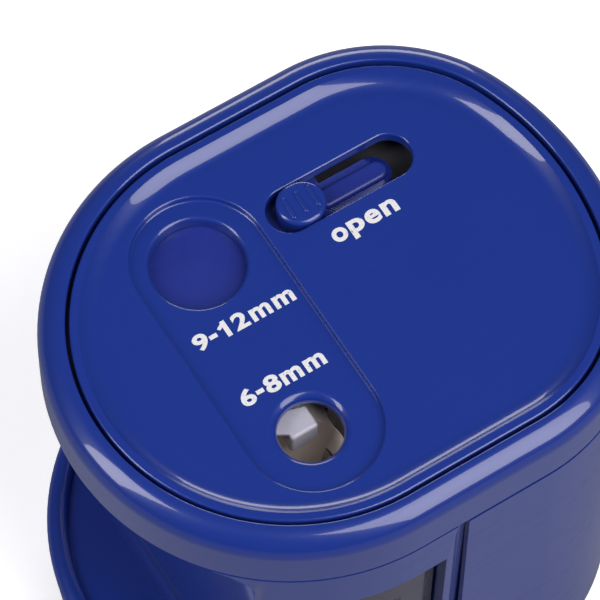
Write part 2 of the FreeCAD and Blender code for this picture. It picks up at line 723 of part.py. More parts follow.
# ---------------------------------------------------------------------------
# Slide: shutter under the panel, and the knob in its slot
# ---------------------------------------------------------------------------
def shutter_plate():
    top = SHUTTER_Z + SHUTTER_T
    flap_x = HOLE_X - SLIDE_TRAVEL
    large = cyl(HOLE_X, LARGE_Y, SHUTTER_Z, top, LARGE_R + SHUTTER_LAP)
    small = cyl(flap_x, SMALL_Y, SHUTTER_Z, top, SMALL_R + SHUTTER_LAP)
    corners = [
        V(HOLE_X - LARGE_R * 0.7, LARGE_Y - LARGE_R * 0.7, SHUTTER_Z),
        V(flap_x - SMALL_R * 0.75, SMALL_Y + SMALL_R * 0.4, SHUTTER_Z),
        V(flap_x + SMALL_R * 0.95, SMALL_Y + SMALL_R * 0.3, SHUTTER_Z),
        V(HOLE_X + 1.0, LARGE_Y - LARGE_R, SHUTTER_Z),
    ]
    arm = raise_up(Part.makePolygon(corners + corners[:1]), SHUTTER_T)
    neck = box(HOLE_X, KNOB_X + KNOB_L / 2 + 1, LARGE_Y - SLOT_W / 2 - 1,
               LARGE_Y + SLOT_W / 2 + 1, SHUTTER_Z, top)
    tail = raise_up(slot(KNOB_X, KNOB_X + TAIL_L, LARGE_Y, TAIL_HALF, SHUTTER_Z), SHUTTER_T)
    bar = slot(KNOB_X + KNOB_L / 2 - 1, KNOB_X + TAIL_L - 0.5, LARGE_Y, BAR_HALF, top - 0.2)
    bar = raise_up(bar, BAR_H + 0.2)
    bar = soften(bar, BAR_H * 0.8, lambda e: at_height(e, top + BAR_H))
    plate = large.fuse([small, arm, neck, tail, bar])
    seat = slot(KNOB_X - KNOB_L / 2 - SEAT, KNOB_X + KNOB_L / 2 + SEAT, LARGE_Y,
                KNOB_W / 2 + SEAT, top)
    plate = plate.cut(raise_up(seat, 5))
    plate = plate.cut(cyl(KNOB_X, LARGE_Y, 0, 100, PEG_R + SEAT))
    inside = slab(-PANEL_INSET - PANEL_GAP / 2 - LEDGE_W - SEAM, SHUTTER_Z, top + 2)
    return plate.common(inside).removeSplitter()


def slide_knob():
    z0 = SHUTTER_Z + SHUTTER_T
    z1 = FLAT_Z + KNOB_PROUD
    body = slot(KNOB_X - KNOB_L / 2, KNOB_X + KNOB_L / 2, LARGE_Y, KNOB_W / 2, z0)
    knob = raise_up(body, z1 - z0)
    knob = soften(knob, KNOB_ROUND, lambda e: at_height(e, z1))
    peg = cyl(KNOB_X, LARGE_Y, SHUTTER_Z, z0, PEG_R)
    ribs = []
    for step in (-1, 0, 1):
        x = KNOB_X + step * RIB_PITCH
        rib = stadium(x, LARGE_Y - RIB_L / 2, LARGE_Y + RIB_L / 2, RIB_HALF, z1 - 0.1)
        rib = raise_up(rib, RIB_H + 0.1)
        ribs.append(soften(rib, RIB_HALF * 0.6, lambda e: at_height(e, z1 + RIB_H)))
    return knob.fuse([peg] + ribs).removeSplitter()


# ---------------------------------------------------------------------------
# Inner frame: lower plate with bearings and posts, deck, sleeves, axle
# ---------------------------------------------------------------------------
STATIONS = {
    "small": (SMALL_Y, SMALL_CONE_R, -1),
    "large": (LARGE_Y, LARGE_CONE_R, 1),
}
POSTS = [(BODY_X + WALL + 3.6, 0), (MOTOR_X - 3.0, 9.0 - HEAD_DEPTH / 2),
         (MOTOR_X - 3.0, HEAD_DEPTH / 2 - 9.0), (MOTOR_X + 6.5, 0)]


def block_r(cone_r):
    return cone_r + BLOCK_WALL


def hub_r(cone_r):
    """The hub below a cutter's gear; it stays inside the gear's tooth roots."""
    root_r = MODULE * (CUTTER_TEETH / 2 - 1.25)
    return min(block_r(cone_r) + SEAT + HUB_WALL, root_r - SEAM)


def inner_plate(z):
    plate = slab(-WALL - SEAM, z, z + PLATE_T)
    return plate.common(box(BODY_X + WALL + SEAM, MOTOR_X + MOTOR_R, -50, 50, 0, 100))


def gear_frame():
    top = FRAME_Z + PLATE_T
    plate = inner_plate(FRAME_Z)
    for y, cone_r, side in STATIONS.values():
        collar = hub_r(cone_r) + FIT + COLLAR_WALL
        plate = plate.fuse(cyl(HOLE_X, y, FRAME_Z, GEAR_Z - 0.4, collar))
    for y, cone_r, side in STATIONS.values():
        plate = plate.cut(cyl(HOLE_X, y, 0, 100, hub_r(cone_r) + FIT))
    for x, y in POSTS:
        plate = plate.fuse(cyl(x, y, FRAME_Z, DECK_Z - SEAT, POST_R))
        plate = plate.cut(cyl(x, y, DECK_Z - 6, DECK_Z, PILOT_R))
    plate = plate.cut(cyl(DRIVE_X, 0, 0, 100, AXLE_R + SEAT))
    plate = plate.cut(cyl(MOTOR_X, 0, 0, top + 0.1, MOTOR_BOSS_R + SEAT))
    for side in (-1, 1):
        plate = plate.cut(cyl(MOTOR_X, side * MOTOR_SCREW_Y, 0, 100, SCREW_HOLE_R))
    for x, y in BOSSES:
        plate = plate.cut(cyl(x, y, 0, 100, SCREW_HOLE_R))
    return plate.removeSplitter()


def upper_deck():
    plate = inner_plate(DECK_Z)
    for y, cone_r, side in STATIONS.values():
        plate = plate.cut(cyl(HOLE_X, y, 0, 100, cone_r + SLEEVE_WALL + SEAT))
    left, right = DECK_WINDOW
    window = box(HOLE_X - left, HOLE_X + right, SMALL_Y, LARGE_Y, 0, 100)
    plate = plate.cut(window)
    for side in (-1, 1):
        y = side * (LARGE_Y - LEVER_IN)
        plate = plate.cut(cyl(HOLE_X - LEVER_BACK, y, 0, 100, PIN_R + SEAT))
    plate = plate.cut(cyl(DRIVE_X, 0, 0, 100, AXLE_R + SEAT))
    for x, y in POSTS:
        plate = plate.cut(cyl(x, y, 0, 100, SCREW_HOLE_R))
    return plate.removeSplitter()


def guide_sleeve(name):
    y, cone_r, side = STATIONS[name]
    z0 = GEAR_TOP + SEAM
    z1 = SHUTTER_Z - 0.2
    sleeve = tube(HOLE_X, y, z0, z1, cone_r + SLEEVE_WALL, cone_r)
    sleeve = sleeve.fuse(tube(HOLE_X, y, DECK_Z - FLANGE_T, DECK_Z - SEAT,
                              cone_r + SLEEVE_WALL + FLANGE_OUT, cone_r))
    toward = -side
    near = y + toward * 0.9
    far = y + toward * 30
    gap = box(HOLE_X - PADDLE_W / 2 - 1.0, HOLE_X + PADDLE_W / 2 + 2.6,
              min(near, far), max(near, far), 0, 100)
    low = box(HOLE_X - 30, HOLE_X, min(near, far), max(near, far), DECK_Z + PLATE_T, 100)
    return sleeve.cut(gap).cut(low).removeSplitter()


def lever(name):
    """A white paddle that the pencil pushes aside; its arm turns on a pin."""
    y, cone_r, side = STATIONS[name]
    toward = -side

    def at(x, inward):
        return V(HOLE_X + x, y + toward * inward, LEVER_Z)

    reach = cone_r - PADDLE_IN
    front = min(at(0, reach).y, at(0, reach + PADDLE_T).y)
    back = max(at(0, reach).y, at(0, reach + PADDLE_T).y)
    paddle = box(HOLE_X - PADDLE_W / 2, HOLE_X + PADDLE_W / 2, front, back,
                 GEAR_TOP + SEAM, LEVER_Z + LEVER_T)
    paddle = soften(paddle, 0.5, lambda e: True)
    corners = [
        at(-LEVER_BACK - 0.4, LEVER_IN - 2.1),
        at(-PADDLE_W / 2 + 0.3, reach + 0.8),
        at(PADDLE_W / 2 - 0.6, reach + PADDLE_T - 0.3),
        at(-1.6, reach + PADDLE_T + 0.6),
        at(-LEVER_BACK + 0.5, LEVER_IN + 2.1),
    ]
    arm = raise_up(Part.makePolygon(corners + corners[:1]), LEVER_T)
    pivot = at(-LEVER_BACK, LEVER_IN)
    boss = cyl(pivot.x, pivot.y, LEVER_Z, LEVER_Z + LEVER_T, 2.2)
    body = paddle.fuse([arm, boss])
    return body.cut(cyl(pivot.x, pivot.y, 0, 100, PIN_R + FIT)).removeSplitter()


def lever_pins():
    pins = []
    for side in (-1, 1):
        y = side * (LARGE_Y - LEVER_IN)
        pins.append(cyl(HOLE_X - LEVER_BACK, y, DECK_Z, LEVER_Z + LEVER_T, PIN_R))
    return group(pins)


def touch_switches():
    solids = []
    for side in (-1, 1):
        y0 = min(side * SWITCH_GAP, side * (SWITCH_GAP + SWITCH_T))
        body = box(HOLE_X - SWITCH_LEFT, HOLE_X + SWITCH_RIGHT, y0, y0 + SWITCH_T,
                   GEAR_TOP + 0.4, SHUTTER_Z - SEAM)
        solids.append(soften(body, 0.3, lambda e: True))
    return group(solids)


def switch_buttons():
    solids = []
    for side in (-1, 1):
        at = V(HOLE_X - 1.6, side * (SWITCH_GAP + SWITCH_T), LEVER_Z)
        solids.append(Part.makeCylinder(PLUNGER_R, PLUNGER_L, at, V(0, side, 0)))
    return group(solids)


# ---------------------------------------------------------------------------
# Cutters: gear, conical block, blade and its screw
# ---------------------------------------------------------------------------
TO_DRIVE = math.atan2(-LARGE_Y, DRIVE_X - HOLE_X)
TO_SMALL = math.atan2(SMALL_Y, HOLE_X - DRIVE_X)
LARGE_PHASE = TO_DRIVE
DRIVE_PHASE = mesh_phase(LARGE_PHASE, CUTTER_TEETH, TO_DRIVE, DRIVE_TEETH)
SMALL_PHASE = mesh_phase(DRIVE_PHASE, DRIVE_TEETH, TO_SMALL, CUTTER_TEETH)
PINION_PHASE = mesh_phase(0, WHEEL_TEETH, 0, PINION_TEETH)
GEAR_PHASES = {"small": SMALL_PHASE, "large": LARGE_PHASE}


def cutter_gear(name):
    y, cone_r, side = STATIONS[name]
    wheel = gear(HOLE_X, y, GEAR_Z, GEAR_W, CUTTER_TEETH, MODULE, GEAR_PHASES[name])
    wheel = wheel.fuse(cyl(HOLE_X, y, GEAR_Z - HUB_L, GEAR_Z + 0.1, hub_r(cone_r)))
    return wheel.cut(cyl(HOLE_X, y, 0, 100, block_r(cone_r) + SEAT)).removeSplitter()


def cone_foot(cone_r):
    """Height of the narrow end of the conical bore."""
    return GEAR_TOP - (cone_r - TIP_R) / CONE_SLOPE


def blade_frame(solid, y, cone_r):
    """Turns a solid drawn upright on the cutting edge into its place."""
    solid.rotate(V(0, 0, 0), V(0, 1, 0), math.degrees(math.atan(CONE_SLOPE)))
    solid.translate(V(HOLE_X + TIP_R - BLADE_BITE, y, cone_foot(cone_r)))
    return solid


def blade_top(cone_r):
    return (GEAR_Z - 0.8 - cone_foot(cone_r)) * math.sqrt(1 + CONE_SLOPE ** 2)


def cutter_block(name):
    y, cone_r, side = STATIONS[name]
    foot = cone_foot(cone_r)
    block = cyl(HOLE_X, y, foot, GEAR_TOP, block_r(cone_r))
    block = soften(block, 1.2, lambda e: at_height(e, foot))
    bore = cone(HOLE_X, y, foot - 1, GEAR_TOP + 1,
                TIP_R - CONE_SLOPE, cone_r + CONE_SLOPE)
    block = block.cut(bore)
    flat = blade_frame(box(0, 30, -20, 20, -20, blade_top(cone_r) + 0.3), y, cone_r)
    block = block.cut(flat)
    at = V(-BLADE_SHANK_L - 0.2, blade_w(cone_r) * BLADE_SCREW_AT, BLADE_SCREW_Z)
    hole = Part.makeCylinder(BLADE_SHANK_R + SEAT, 3.0, at, V(1, 0, 0))
    return block.cut(blade_frame(hole, y, cone_r)).removeSplitter()


def blade_w(cone_r):
    """A blade's width; its top corner stays inside the block's round."""
    rise = GEAR_Z - 0.8 - cone_foot(cone_r)
    out = TIP_R - BLADE_BITE + CONE_SLOPE * rise + BLADE_T * math.sqrt(1 + CONE_SLOPE ** 2)
    return min(cone_r - 0.4, math.sqrt(block_r(cone_r) ** 2 - out ** 2) - 0.15)


def cutter_blade(name):
    y, cone_r, side = STATIONS[name]
    width = blade_w(cone_r)
    blade = box(SEAT, BLADE_T, -0.4, width, 0.4, blade_top(cone_r))
    edge = [e for e in blade.Edges if abs(e.BoundBox.YMax + 0.4) < 1e-6
            and e.BoundBox.ZLength > 1 and e.BoundBox.XMin > 0.2]
    blade = blade.makeChamfer(0.3, edge)
    at = V(-1, width * BLADE_SCREW_AT, BLADE_SCREW_Z)
    hole = Part.makeCylinder(BLADE_SHANK_R + 0.2, 3, at, V(1, 0, 0))
    return blade_frame(blade.cut(hole), y, cone_r)


def blade_screw(name):
    y, cone_r, side = STATIONS[name]
    at = blade_w(cone_r) * BLADE_SCREW_AT
    z = BLADE_SCREW_Z
    head = Part.makeCylinder(BLADE_SCREW_R, BLADE_SCREW_H, V(BLADE_T + 0.02, at, z),
                             V(1, 0, 0))
    slot_cut = box(BLADE_T + 0.52, BLADE_T + 1.5, at - 2, at + 2, z - 0.25, z + 0.25)
    shank = Part.makeCylinder(BLADE_SHANK_R, BLADE_SHANK_L,
                              V(BLADE_T + 0.1 - BLADE_SHANK_L, at, z), V(1, 0, 0))
    return blade_frame(head.cut(slot_cut).fuse(shank), y, cone_r)


def drive_gear():
    small = gear(DRIVE_X, 0, GEAR_Z, GEAR_W - 0.3, DRIVE_TEETH, MODULE, DRIVE_PHASE)
    wheel = gear(DRIVE_X, 0, WHEEL_Z, WHEEL_W, WHEEL_TEETH, FINE_MODULE, 0, 0.8)
    hub = cyl(DRIVE_X, 0, WHEEL_Z - 0.3, GEAR_Z + 0.1, DRIVE_HUB_R)
    both = small.fuse([wheel, hub])
    return both.cut(cyl(DRIVE_X, 0, 0, 100, AXLE_R + FIT)).removeSplitter()


def drive_axle():
    return cyl(DRIVE_X, 0, FRAME_Z, DECK_Z + PLATE_T, AXLE_R)


# ---------------------------------------------------------------------------
# Motor
# ---------------------------------------------------------------------------
MOTOR_TOP = FRAME_Z - SEAT
MOTOR_Z = MOTOR_TOP - MOTOR_L


def motor_can():
    can = cyl(MOTOR_X, 0, MOTOR_Z + CAP_H, MOTOR_TOP, MOTOR_R)
    can = soften(can, 1.2, lambda e: at_height(e, MOTOR_TOP))
    can = can.cut(cyl(MOTOR_X, 0, 0, MOTOR_TOP - CAN_WALL, MOTOR_R - CAN_WALL))
    can = can.fuse(cyl(MOTOR_X, 0, MOTOR_TOP - CAP_H, MOTOR_TOP + 1.5, MOTOR_BOSS_R))
    can = can.cut(cyl(MOTOR_X, 0, 0, 100, SHAFT_R + FIT))
    for side in (-1, 1):
        can = can.cut(cyl(MOTOR_X, side * MOTOR_SCREW_Y, MOTOR_TOP - 5, 100, MOTOR_SCREW_R))
    return can.removeSplitter()


def motor_end_cap():
    cap = cyl(MOTOR_X, 0, MOTOR_Z, MOTOR_Z + CAP_H - SEAT, MOTOR_R - 0.3)
    cap = soften(cap, 0.6, lambda e: at_height(e, MOTOR_Z))
    cap = cap.fuse(cyl(MOTOR_X, 0, MOTOR_Z - 1.6, MOTOR_Z + 0.5, BEARING_R))
    cap = cap.fuse(cyl(MOTOR_X, 0, MOTOR_Z + 2, MOTOR_Z + CAP_H + 2, MOTOR_R - CAN_WALL - SEAT))
    return cap.cut(cyl(MOTOR_X, 0, MOTOR_Z - 1.0, 100, SHAFT_R + FIT)).removeSplitter()


def motor_terminals():
    tabs = []
    for side in (-1, 1):
        y = side * TAB_Y
        tab = box(MOTOR_X - TAB_HALF, MOTOR_X + TAB_HALF, y - TAB_T / 2, y + TAB_T / 2,
                  MOTOR_Z - TAB_L, MOTOR_Z)
        eye = V(MOTOR_X, y - 1, MOTOR_Z - TAB_L * 0.65)
        tabs.append(tab.cut(Part.makeCylinder(TAB_HALF / 2, 2, eye, V(0, 1, 0))))
    return group(tabs)


def motor_rotor():
    z0 = MOTOR_Z + ROTOR_Z
    core = cyl(MOTOR_X, 0, z0, z0 + ROTOR_L, ROTOR_R)
    for i in range(3):
        angle = math.radians(120 * i)
        slot_cut = box(MOTOR_X + 3.2, MOTOR_X + 9, -ROTOR_SLOT / 2, ROTOR_SLOT / 2,
                       z0 - 1, z0 + ROTOR_L + 1)
        slot_cut.rotate(V(MOTOR_X, 0, 0), UP, math.degrees(angle))
        core = core.cut(slot_cut)
    return core.cut(cyl(MOTOR_X, 0, 0, 100, SHAFT_R + SEAT))


def motor_magnets():
    z0 = MOTOR_Z + ROTOR_Z - (MAGNET_L - ROTOR_L) / 2
    shell = tube(MOTOR_X, 0, z0, z0 + MAGNET_L, MOTOR_R - CAN_WALL - SEAT, MAGNET_R)
    half = MAGNET_GAP / 2
    gap = box(MOTOR_X - half, MOTOR_X + half, -20, 20, 0, 100)
    return shell.cut(gap)


def motor_shaft():
    return cyl(MOTOR_X, 0, MOTOR_Z - 0.9, WHEEL_Z + WHEEL_W + 0.2, SHAFT_R)


def motor_pinion():
    z0 = WHEEL_Z - 0.2
    teeth = gear(MOTOR_X, 0, z0, WHEEL_W + 0.4, PINION_TEETH, FINE_MODULE, PINION_PHASE)
    return teeth.cut(cyl(MOTOR_X, 0, 0, 100, SHAFT_R + 0.01))


# ---------------------------------------------------------------------------
# Cells, contacts and the battery lid
# ---------------------------------------------------------------------------
CELL_TOP = CELL_Z + CELL_L + CELL_NUB_H


def battery_cells():
    cells = []
    for i, (x, y) in enumerate(CELLS):
        upright = i % 2 == 0
        z0 = CELL_Z if upright else CELL_Z + CELL_NUB_H
        cell = cyl(x, y, z0, z0 + CELL_L, CELL_R)
        cell = soften(cell, 0.6, lambda e: at_height(e, z0) or at_height(e, z0 + CELL_L))
        nub_z = z0 + CELL_L - 0.1 if upright else CELL_Z
        cells.append(cell.fuse(cyl(x, y, nub_z, nub_z + CELL_NUB_H + 0.1, CELL_NUB_R)))
    return group(cells)


def cell_rack():
    z = CELL_Z + CELL_L * RACK_AT
    rack = slab(-WALL - SEAT, z, z + PLATE_T).common(right_of(COLUMN_X + WALL + SEAT))
    rack = rack.cut(slab(-GROOVE_D - 1.2, 0, 100).common(left_of(COVER_X + LAP + 1))
                    .cut(slab(-WALL - 1.2, 0, 100)))
    for x, y in CELLS:
        rack = rack.cut(cyl(x, y, 0, 100, CELL_R + 0.3))
    return rack.cut(cyl(MOTOR_X, 0, 0, 100, MOTOR_R + 0.3)).removeSplitter()


def contact_board():
    z = CELL_TOP + 0.4
    board = slab(-WALL - SEAT, z, z + BOARD_T).common(right_of(MOTOR_X + 1.0))
    board = board.cut(cyl(MOTOR_X, 0, 0, 100, MOTOR_R + 0.4))
    return board.removeSplitter()


def top_contacts():
    plates = []
    for x, y in CELLS:
        plates.append(cyl(x, y, CELL_TOP + 0.05, CELL_TOP + 0.38, CONTACT_R))
    return group(plates)


def foot_gaps(shape):
    for x, y in FEET:
        shape = shape.cut(cyl(x, y, 0, 20, BOSS_R + SEAM + 0.1))
    return shape


def battery_lid():
    lid = slab(TRAY_IN - SEAM, FOOT_H, FOOT_H + FLOOR_T)
    lid = foot_gaps(lid.common(right_of(LID_X)))
    barrel = Part.makeCylinder(FLOOR_T / 2, HINGE_W, V(LID_X, -HINGE_W / 2, LID_HINGE_Z),
                               V(0, 1, 0))
    for i in range(5):
        x = HEAD_LENGTH / 2 - GRIP_X + i * GRIP_PITCH
        lid = lid.cut(box(x, x + GRIP_W, -GRIP_HALF, GRIP_HALF, 0, FOOT_H + GRIP_D))
    return lid.fuse(barrel).removeSplitter()


def cell_springs():
    """Cone-shaped springs of square wire on the inside of the lid, one under each cell."""
    springs = []
    half = SPRING_WIRE / 2
    corners = [V(SPRING_R + x, 0, z) for x, z in
               ((-half, -half), (half, -half), (half, half), (-half, half), (-half, -half))]
    section = Part.makePolygon(corners)
    for x, y in CELLS:
        helix = Part.makeHelix(SPRING_PITCH, SPRING_H - 2 * SPRING_WIRE, SPRING_R, SPRING_CONE)
        wire = Part.Wire(helix.Edges)
        coil = wire.makePipeShell([section], True, True)
        coil.translate(V(x, y, FOOT_H + FLOOR_T + SPRING_SEAT))
        springs.append(Part.makeSolid(coil))
    return group(springs)


# ---------------------------------------------------------------------------
# Shavings bin
# ---------------------------------------------------------------------------
def bin_tray():
    x0 = WINDOW_X + SEAM
    x1 = COLUMN_X - SEAM
    z0 = SILL_Z + BIN_LIFT
    top = WINDOW_Z - SEAM
    low = min(z0 + BIN_H, cone_foot(LARGE_CONE_R) - 2.0)
    front = slab(-BIN_RECESS, z0, top)
    outer = front.common(box(x0, x1, -60, BIN_BACK, 0, 100))
    outer = soften(outer, BIN_ROUND, lambda e: e.BoundBox.ZLength > 5
                   and e.BoundBox.YMin > BIN_BACK - 1)
    inner = slab(-BIN_RECESS - BIN_T, z0 + BIN_T, 100)
    inner = inner.common(box(x0 + BIN_T, x1 - BIN_T, -60, BIN_BACK - BIN_T, 0, 100))
    tray = outer.cut(inner)
    above = box(x0 - 5, x1 + 5, -60, 60, low, 100)
    front_wall = slab(-BIN_RECESS - BIN_T, 0, 100)
    keep = box(-100, 100, -60, -15, 0, 100).cut(front_wall)
    return tray.cut(above.cut(keep)).removeSplitter()


def bin_pull():
    """A bar across the bin's front, to pull it out by."""
    x = (WINDOW_X + COLUMN_X) / 2
    z = WINDOW_Z - PULL_DROP
    bar = box(x - PULL_HALF, x + PULL_HALF, -60, 0, z, z + PULL_H)
    return bar.common(ring(-PULL_BACK, -BIN_RECESS + 0.01, 0, 100))


def bin_switch():
    x = HOLE_X - BIN_SWITCH_W / 2 + SEAM
    y = BIN_BACK + 1.0
    body = box(x, x + BIN_SWITCH_W, y, y + BIN_SWITCH_T, BIN_SWITCH_Z,
               BIN_SWITCH_Z + BIN_SWITCH_H)
    body = soften(body, 0.4, lambda e: True)
    middle = V(HOLE_X, y + SEAT, BIN_SWITCH_Z + BIN_SWITCH_H / 2)
    button = Part.makeCylinder(0.8, 0.6, middle, V(0, -1, 0))
    return body.fuse(button)


# ---------------------------------------------------------------------------
# Every node, in the order that it is put together
# ---------------------------------------------------------------------------
save("base_tray", base_tray())
save("base_plate", base_plate())
save("rubber_feet", group([
    soften(cyl(x, y, 0, FOOT_H + FOOT_SINK - SEAT, FOOT_R), 0.3,
           lambda e: at_height(e, 0)) for x, y in FEET]))
save("base_screws", group([
    screw(x, y, FOOT_H + SCREW_SINK, *BASE_SCREW, 1) for x, y in BASE_SCREWS]))
save("body_shell", body_shell())
save("side_cover", side_cover())
save("head_shell", head_shell())
save("top_panel", top_panel())
save("shutter_plate", shutter_plate())
save("slide_knob", slide_knob())
save("gear_frame", gear_frame())
save("frame_screws", group([
    screw(x, y, FRAME_Z + PLATE_T, *FRAME_SCREW, -1) for x, y in BOSSES]))
save("upper_deck", upper_deck())
save("deck_screws", group([
    screw(x, y, DECK_Z + PLATE_T, *DECK_SCREW, -1) for x, y in POSTS]))
save("drive_axle", drive_axle())
save("drive_gear", drive_gear())
for name in STATIONS:
    save("guide_sleeve_" + name, guide_sleeve(name))
    save("pencil_lever_" + name, lever(name))
    save("cutter_gear_" + name, cutter_gear(name))
    save("cutter_block_" + name, cutter_block(name))
    save("cutter_blade_" + name, cutter_blade(name))
    save("blade_screw_" + name, blade_screw(name))
save("lever_pins", lever_pins())
save("touch_switches", touch_switches())
save("switch_buttons", switch_buttons())
save("motor_can", motor_can())
save("motor_end_cap", motor_end_cap())
save("motor_terminals", motor_terminals())
save("motor_magnets", motor_magnets())
save("motor_rotor", motor_rotor())
save("motor_shaft", motor_shaft())
save("motor_pinion", motor_pinion())
save("motor_screws", group([
    screw(MOTOR_X, side * MOTOR_SCREW_Y, FRAME_Z + PLATE_T, *MOTOR_SCREW, -1)
    for side in (-1, 1)]))
save("battery_cells", battery_cells())
save("cell_rack", cell_rack())
save("contact_board", contact_board())
save("top_contacts", top_contacts())
save("battery_lid", battery_lid())
save("cell_springs", cell_springs())
save("bin_tray", bin_tray())
save("bin_pull", bin_pull())
save("bin_switch", bin_switch())
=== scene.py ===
import bmesh
import bpy
import math
from mathutils import Matrix, Vector
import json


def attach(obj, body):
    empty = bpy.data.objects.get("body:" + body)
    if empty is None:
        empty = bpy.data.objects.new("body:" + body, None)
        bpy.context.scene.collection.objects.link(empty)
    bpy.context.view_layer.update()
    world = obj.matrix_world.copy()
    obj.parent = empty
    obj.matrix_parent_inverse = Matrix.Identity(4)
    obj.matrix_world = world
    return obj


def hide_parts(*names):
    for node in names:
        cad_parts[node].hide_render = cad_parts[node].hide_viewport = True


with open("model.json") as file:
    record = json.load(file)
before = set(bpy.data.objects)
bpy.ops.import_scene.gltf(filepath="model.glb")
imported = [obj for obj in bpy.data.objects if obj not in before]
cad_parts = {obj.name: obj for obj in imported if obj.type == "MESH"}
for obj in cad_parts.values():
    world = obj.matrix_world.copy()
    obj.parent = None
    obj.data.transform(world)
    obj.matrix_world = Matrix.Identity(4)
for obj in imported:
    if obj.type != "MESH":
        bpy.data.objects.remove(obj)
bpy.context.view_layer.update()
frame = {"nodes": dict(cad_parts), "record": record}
nodes = frame["nodes"]


# ---------------------------------------------------------------------------
# The stand: a matt pale table top in a dim white room, soft lamps, and the
# camera, which looks down on the sharpener's head from the left end.
# ---------------------------------------------------------------------------
TABLE_HALF = 3.0
bm = bmesh.new()
bmesh.ops.create_grid(bm, x_segments=1, y_segments=1, size=TABLE_HALF)
table_mesh = bpy.data.meshes.new("table_top")
bm.to_mesh(table_mesh)
bm.free()
table_top = bpy.data.objects.new("table_top", table_mesh)
bpy.context.scene.collection.objects.link(table_top)
paper = bpy.data.materials.new("white_paper")
paper.use_nodes = True
paper_shader = paper.node_tree.nodes["Principled BSDF"]
paper_shader.inputs["Roughness"].default_value = 0.7
paper_shader.inputs["Emission Color"].default_value = (1, 1, 1, 1)
# painted shade: rays other than the camera's see the table in a dark grey, so the walls mirror a
# duller table than the eye sees, as if shades stood round it
rays = paper.node_tree.nodes.new("ShaderNodeLightPath")
rays.location = (-700, 0)
# camera rays get the paper's own pale tone; all other rays get a painted dark shade
paper_and_painted_shade_tone = paper.node_tree.nodes.new("ShaderNodeValToRGB")
paper_and_painted_shade_tone.location = (-450, 0)
paper_and_painted_shade_tone.color_ramp.elements[0].color = (0.26, 0.27, 0.32, 1)
paper_and_painted_shade_tone.color_ramp.elements[1].color = (0.86, 0.86, 0.87, 1)
paper_glow = paper.node_tree.nodes.new("ShaderNodeMath")
paper_glow.location = (-450, -300)
paper_glow.operation = "MULTIPLY"
paper_glow.inputs[1].default_value = 0.45
paper.node_tree.links.new(rays.outputs["Is Camera Ray"], paper_and_painted_shade_tone.inputs["Fac"])
paper.node_tree.links.new(rays.outputs["Is Camera Ray"], paper_glow.inputs[0])
paper.node_tree.links.new(paper_and_painted_shade_tone.outputs["Color"], paper_shader.inputs["Base Color"])
paper.node_tree.links.new(paper_glow.outputs[0], paper_shader.inputs["Emission Strength"])
table_mesh.materials.append(paper)

room = bpy.data.worlds.new("white_room")
bpy.context.scene.world = room
room.use_nodes = True
room.node_tree.nodes["Background"].inputs["Color"].default_value = (0.80, 0.82, 0.90, 1)
room.node_tree.nodes["Background"].inputs["Strength"].default_value = 0.10


def soft_lamp(name, place, wide, high, power):
    """A flat rectangular lamp that faces the top of the sharpener."""
    lamp = bpy.data.lights.new(name, "AREA")
    lamp.shape = "RECTANGLE"
    lamp.size = wide
    lamp.size_y = high
    lamp.energy = power
    lamp.color = (1.0, 0.98, 1.0)
    stand = bpy.data.objects.new(name, lamp)
    bpy.context.scene.collection.objects.link(stand)
    stand.location = place
    aim = Vector((0, 0, 0.07)) - Vector(place)
    stand.rotation_euler = aim.to_track_quat("-Z", "Y").to_euler()


soft_lamp("lamp_front", (0.25, -0.56, 0.70), 0.50, 1.00, 9.0)
soft_lamp("lamp_left", (-0.64, 0.12, 0.60), 0.26, 0.75, 4.5)
soft_lamp("lamp_back", (0.45, 0.75, 0.30), 0.6, 0.25, 2.5)

eye = bpy.data.cameras.new("eye")
eye.lens = 251.44
eye.sensor_width = 36
eye.clip_start = 0.05
camera = bpy.data.objects.new("eye", eye)
bpy.context.scene.collection.objects.link(camera)
back = Vector((-0.244, -0.369, 0.897)).normalized()
right = Vector((0.847, -0.531, 0.012))
up = back.cross(right).normalized()
right = up.cross(back)
camera.matrix_world = Matrix.Translation((-0.1378, -0.2003, 0.5665)) @ Matrix(
    (right, up, back)).transposed().to_4x4()
bpy.context.scene.camera = camera
bpy.context.scene.view_settings.view_transform = "Standard"


# ---------------------------------------------------------------------------
# Head shell: the rounded blue cap that holds the top panel, moulded in glossy
# ABS. Its section runs once round the housing: lower edge, wall, shoulder,
# lip, the ledge that carries the panel, and a web under the left end.
# ---------------------------------------------------------------------------
MM = 0.001
MERGE = 0.002               # points nearer than this are one point
WALL = 1.8
SIDE_Y = 33.0               # half the head's depth
LEFT_X = -6.9               # centre of the half circle at the left end
END_X = -5.3                # centre of the wide arc at the right end
END_R = 45.2
CORNER_R = 26.0
CORNER_Y = SIDE_Y - CORNER_R
CORNER = Vector((END_X + math.sqrt((END_R - CORNER_R) ** 2 - CORNER_Y ** 2), CORNER_Y))
CORNER_TURN = math.pi / 2 - math.atan2(CORNER_Y, CORNER.x - END_X)
END_TURN = math.pi - 2 * CORNER_TURN
UP = (0, 0, 1)


def row(bm, points, closed=False):
    """Points joined one to the next."""
    verts = [bm.verts.new(point) for point in points]
    ends = verts[1:] + verts[:1] if closed else verts[1:]
    return verts + [bm.edges.new(pair) for pair in zip(verts, ends)]


def swing(bm, geom, centre, turn, steps, move=(0, 0, 0)):
    """Carries a row of points along an arc or a straight way, leaving a skin."""
    return bmesh.ops.spin(
        bm, geom=geom, cent=(centre[0], centre[1], 0), axis=UP, dvec=move,
        angle=turn, steps=steps, use_merge=False)["geom_last"]


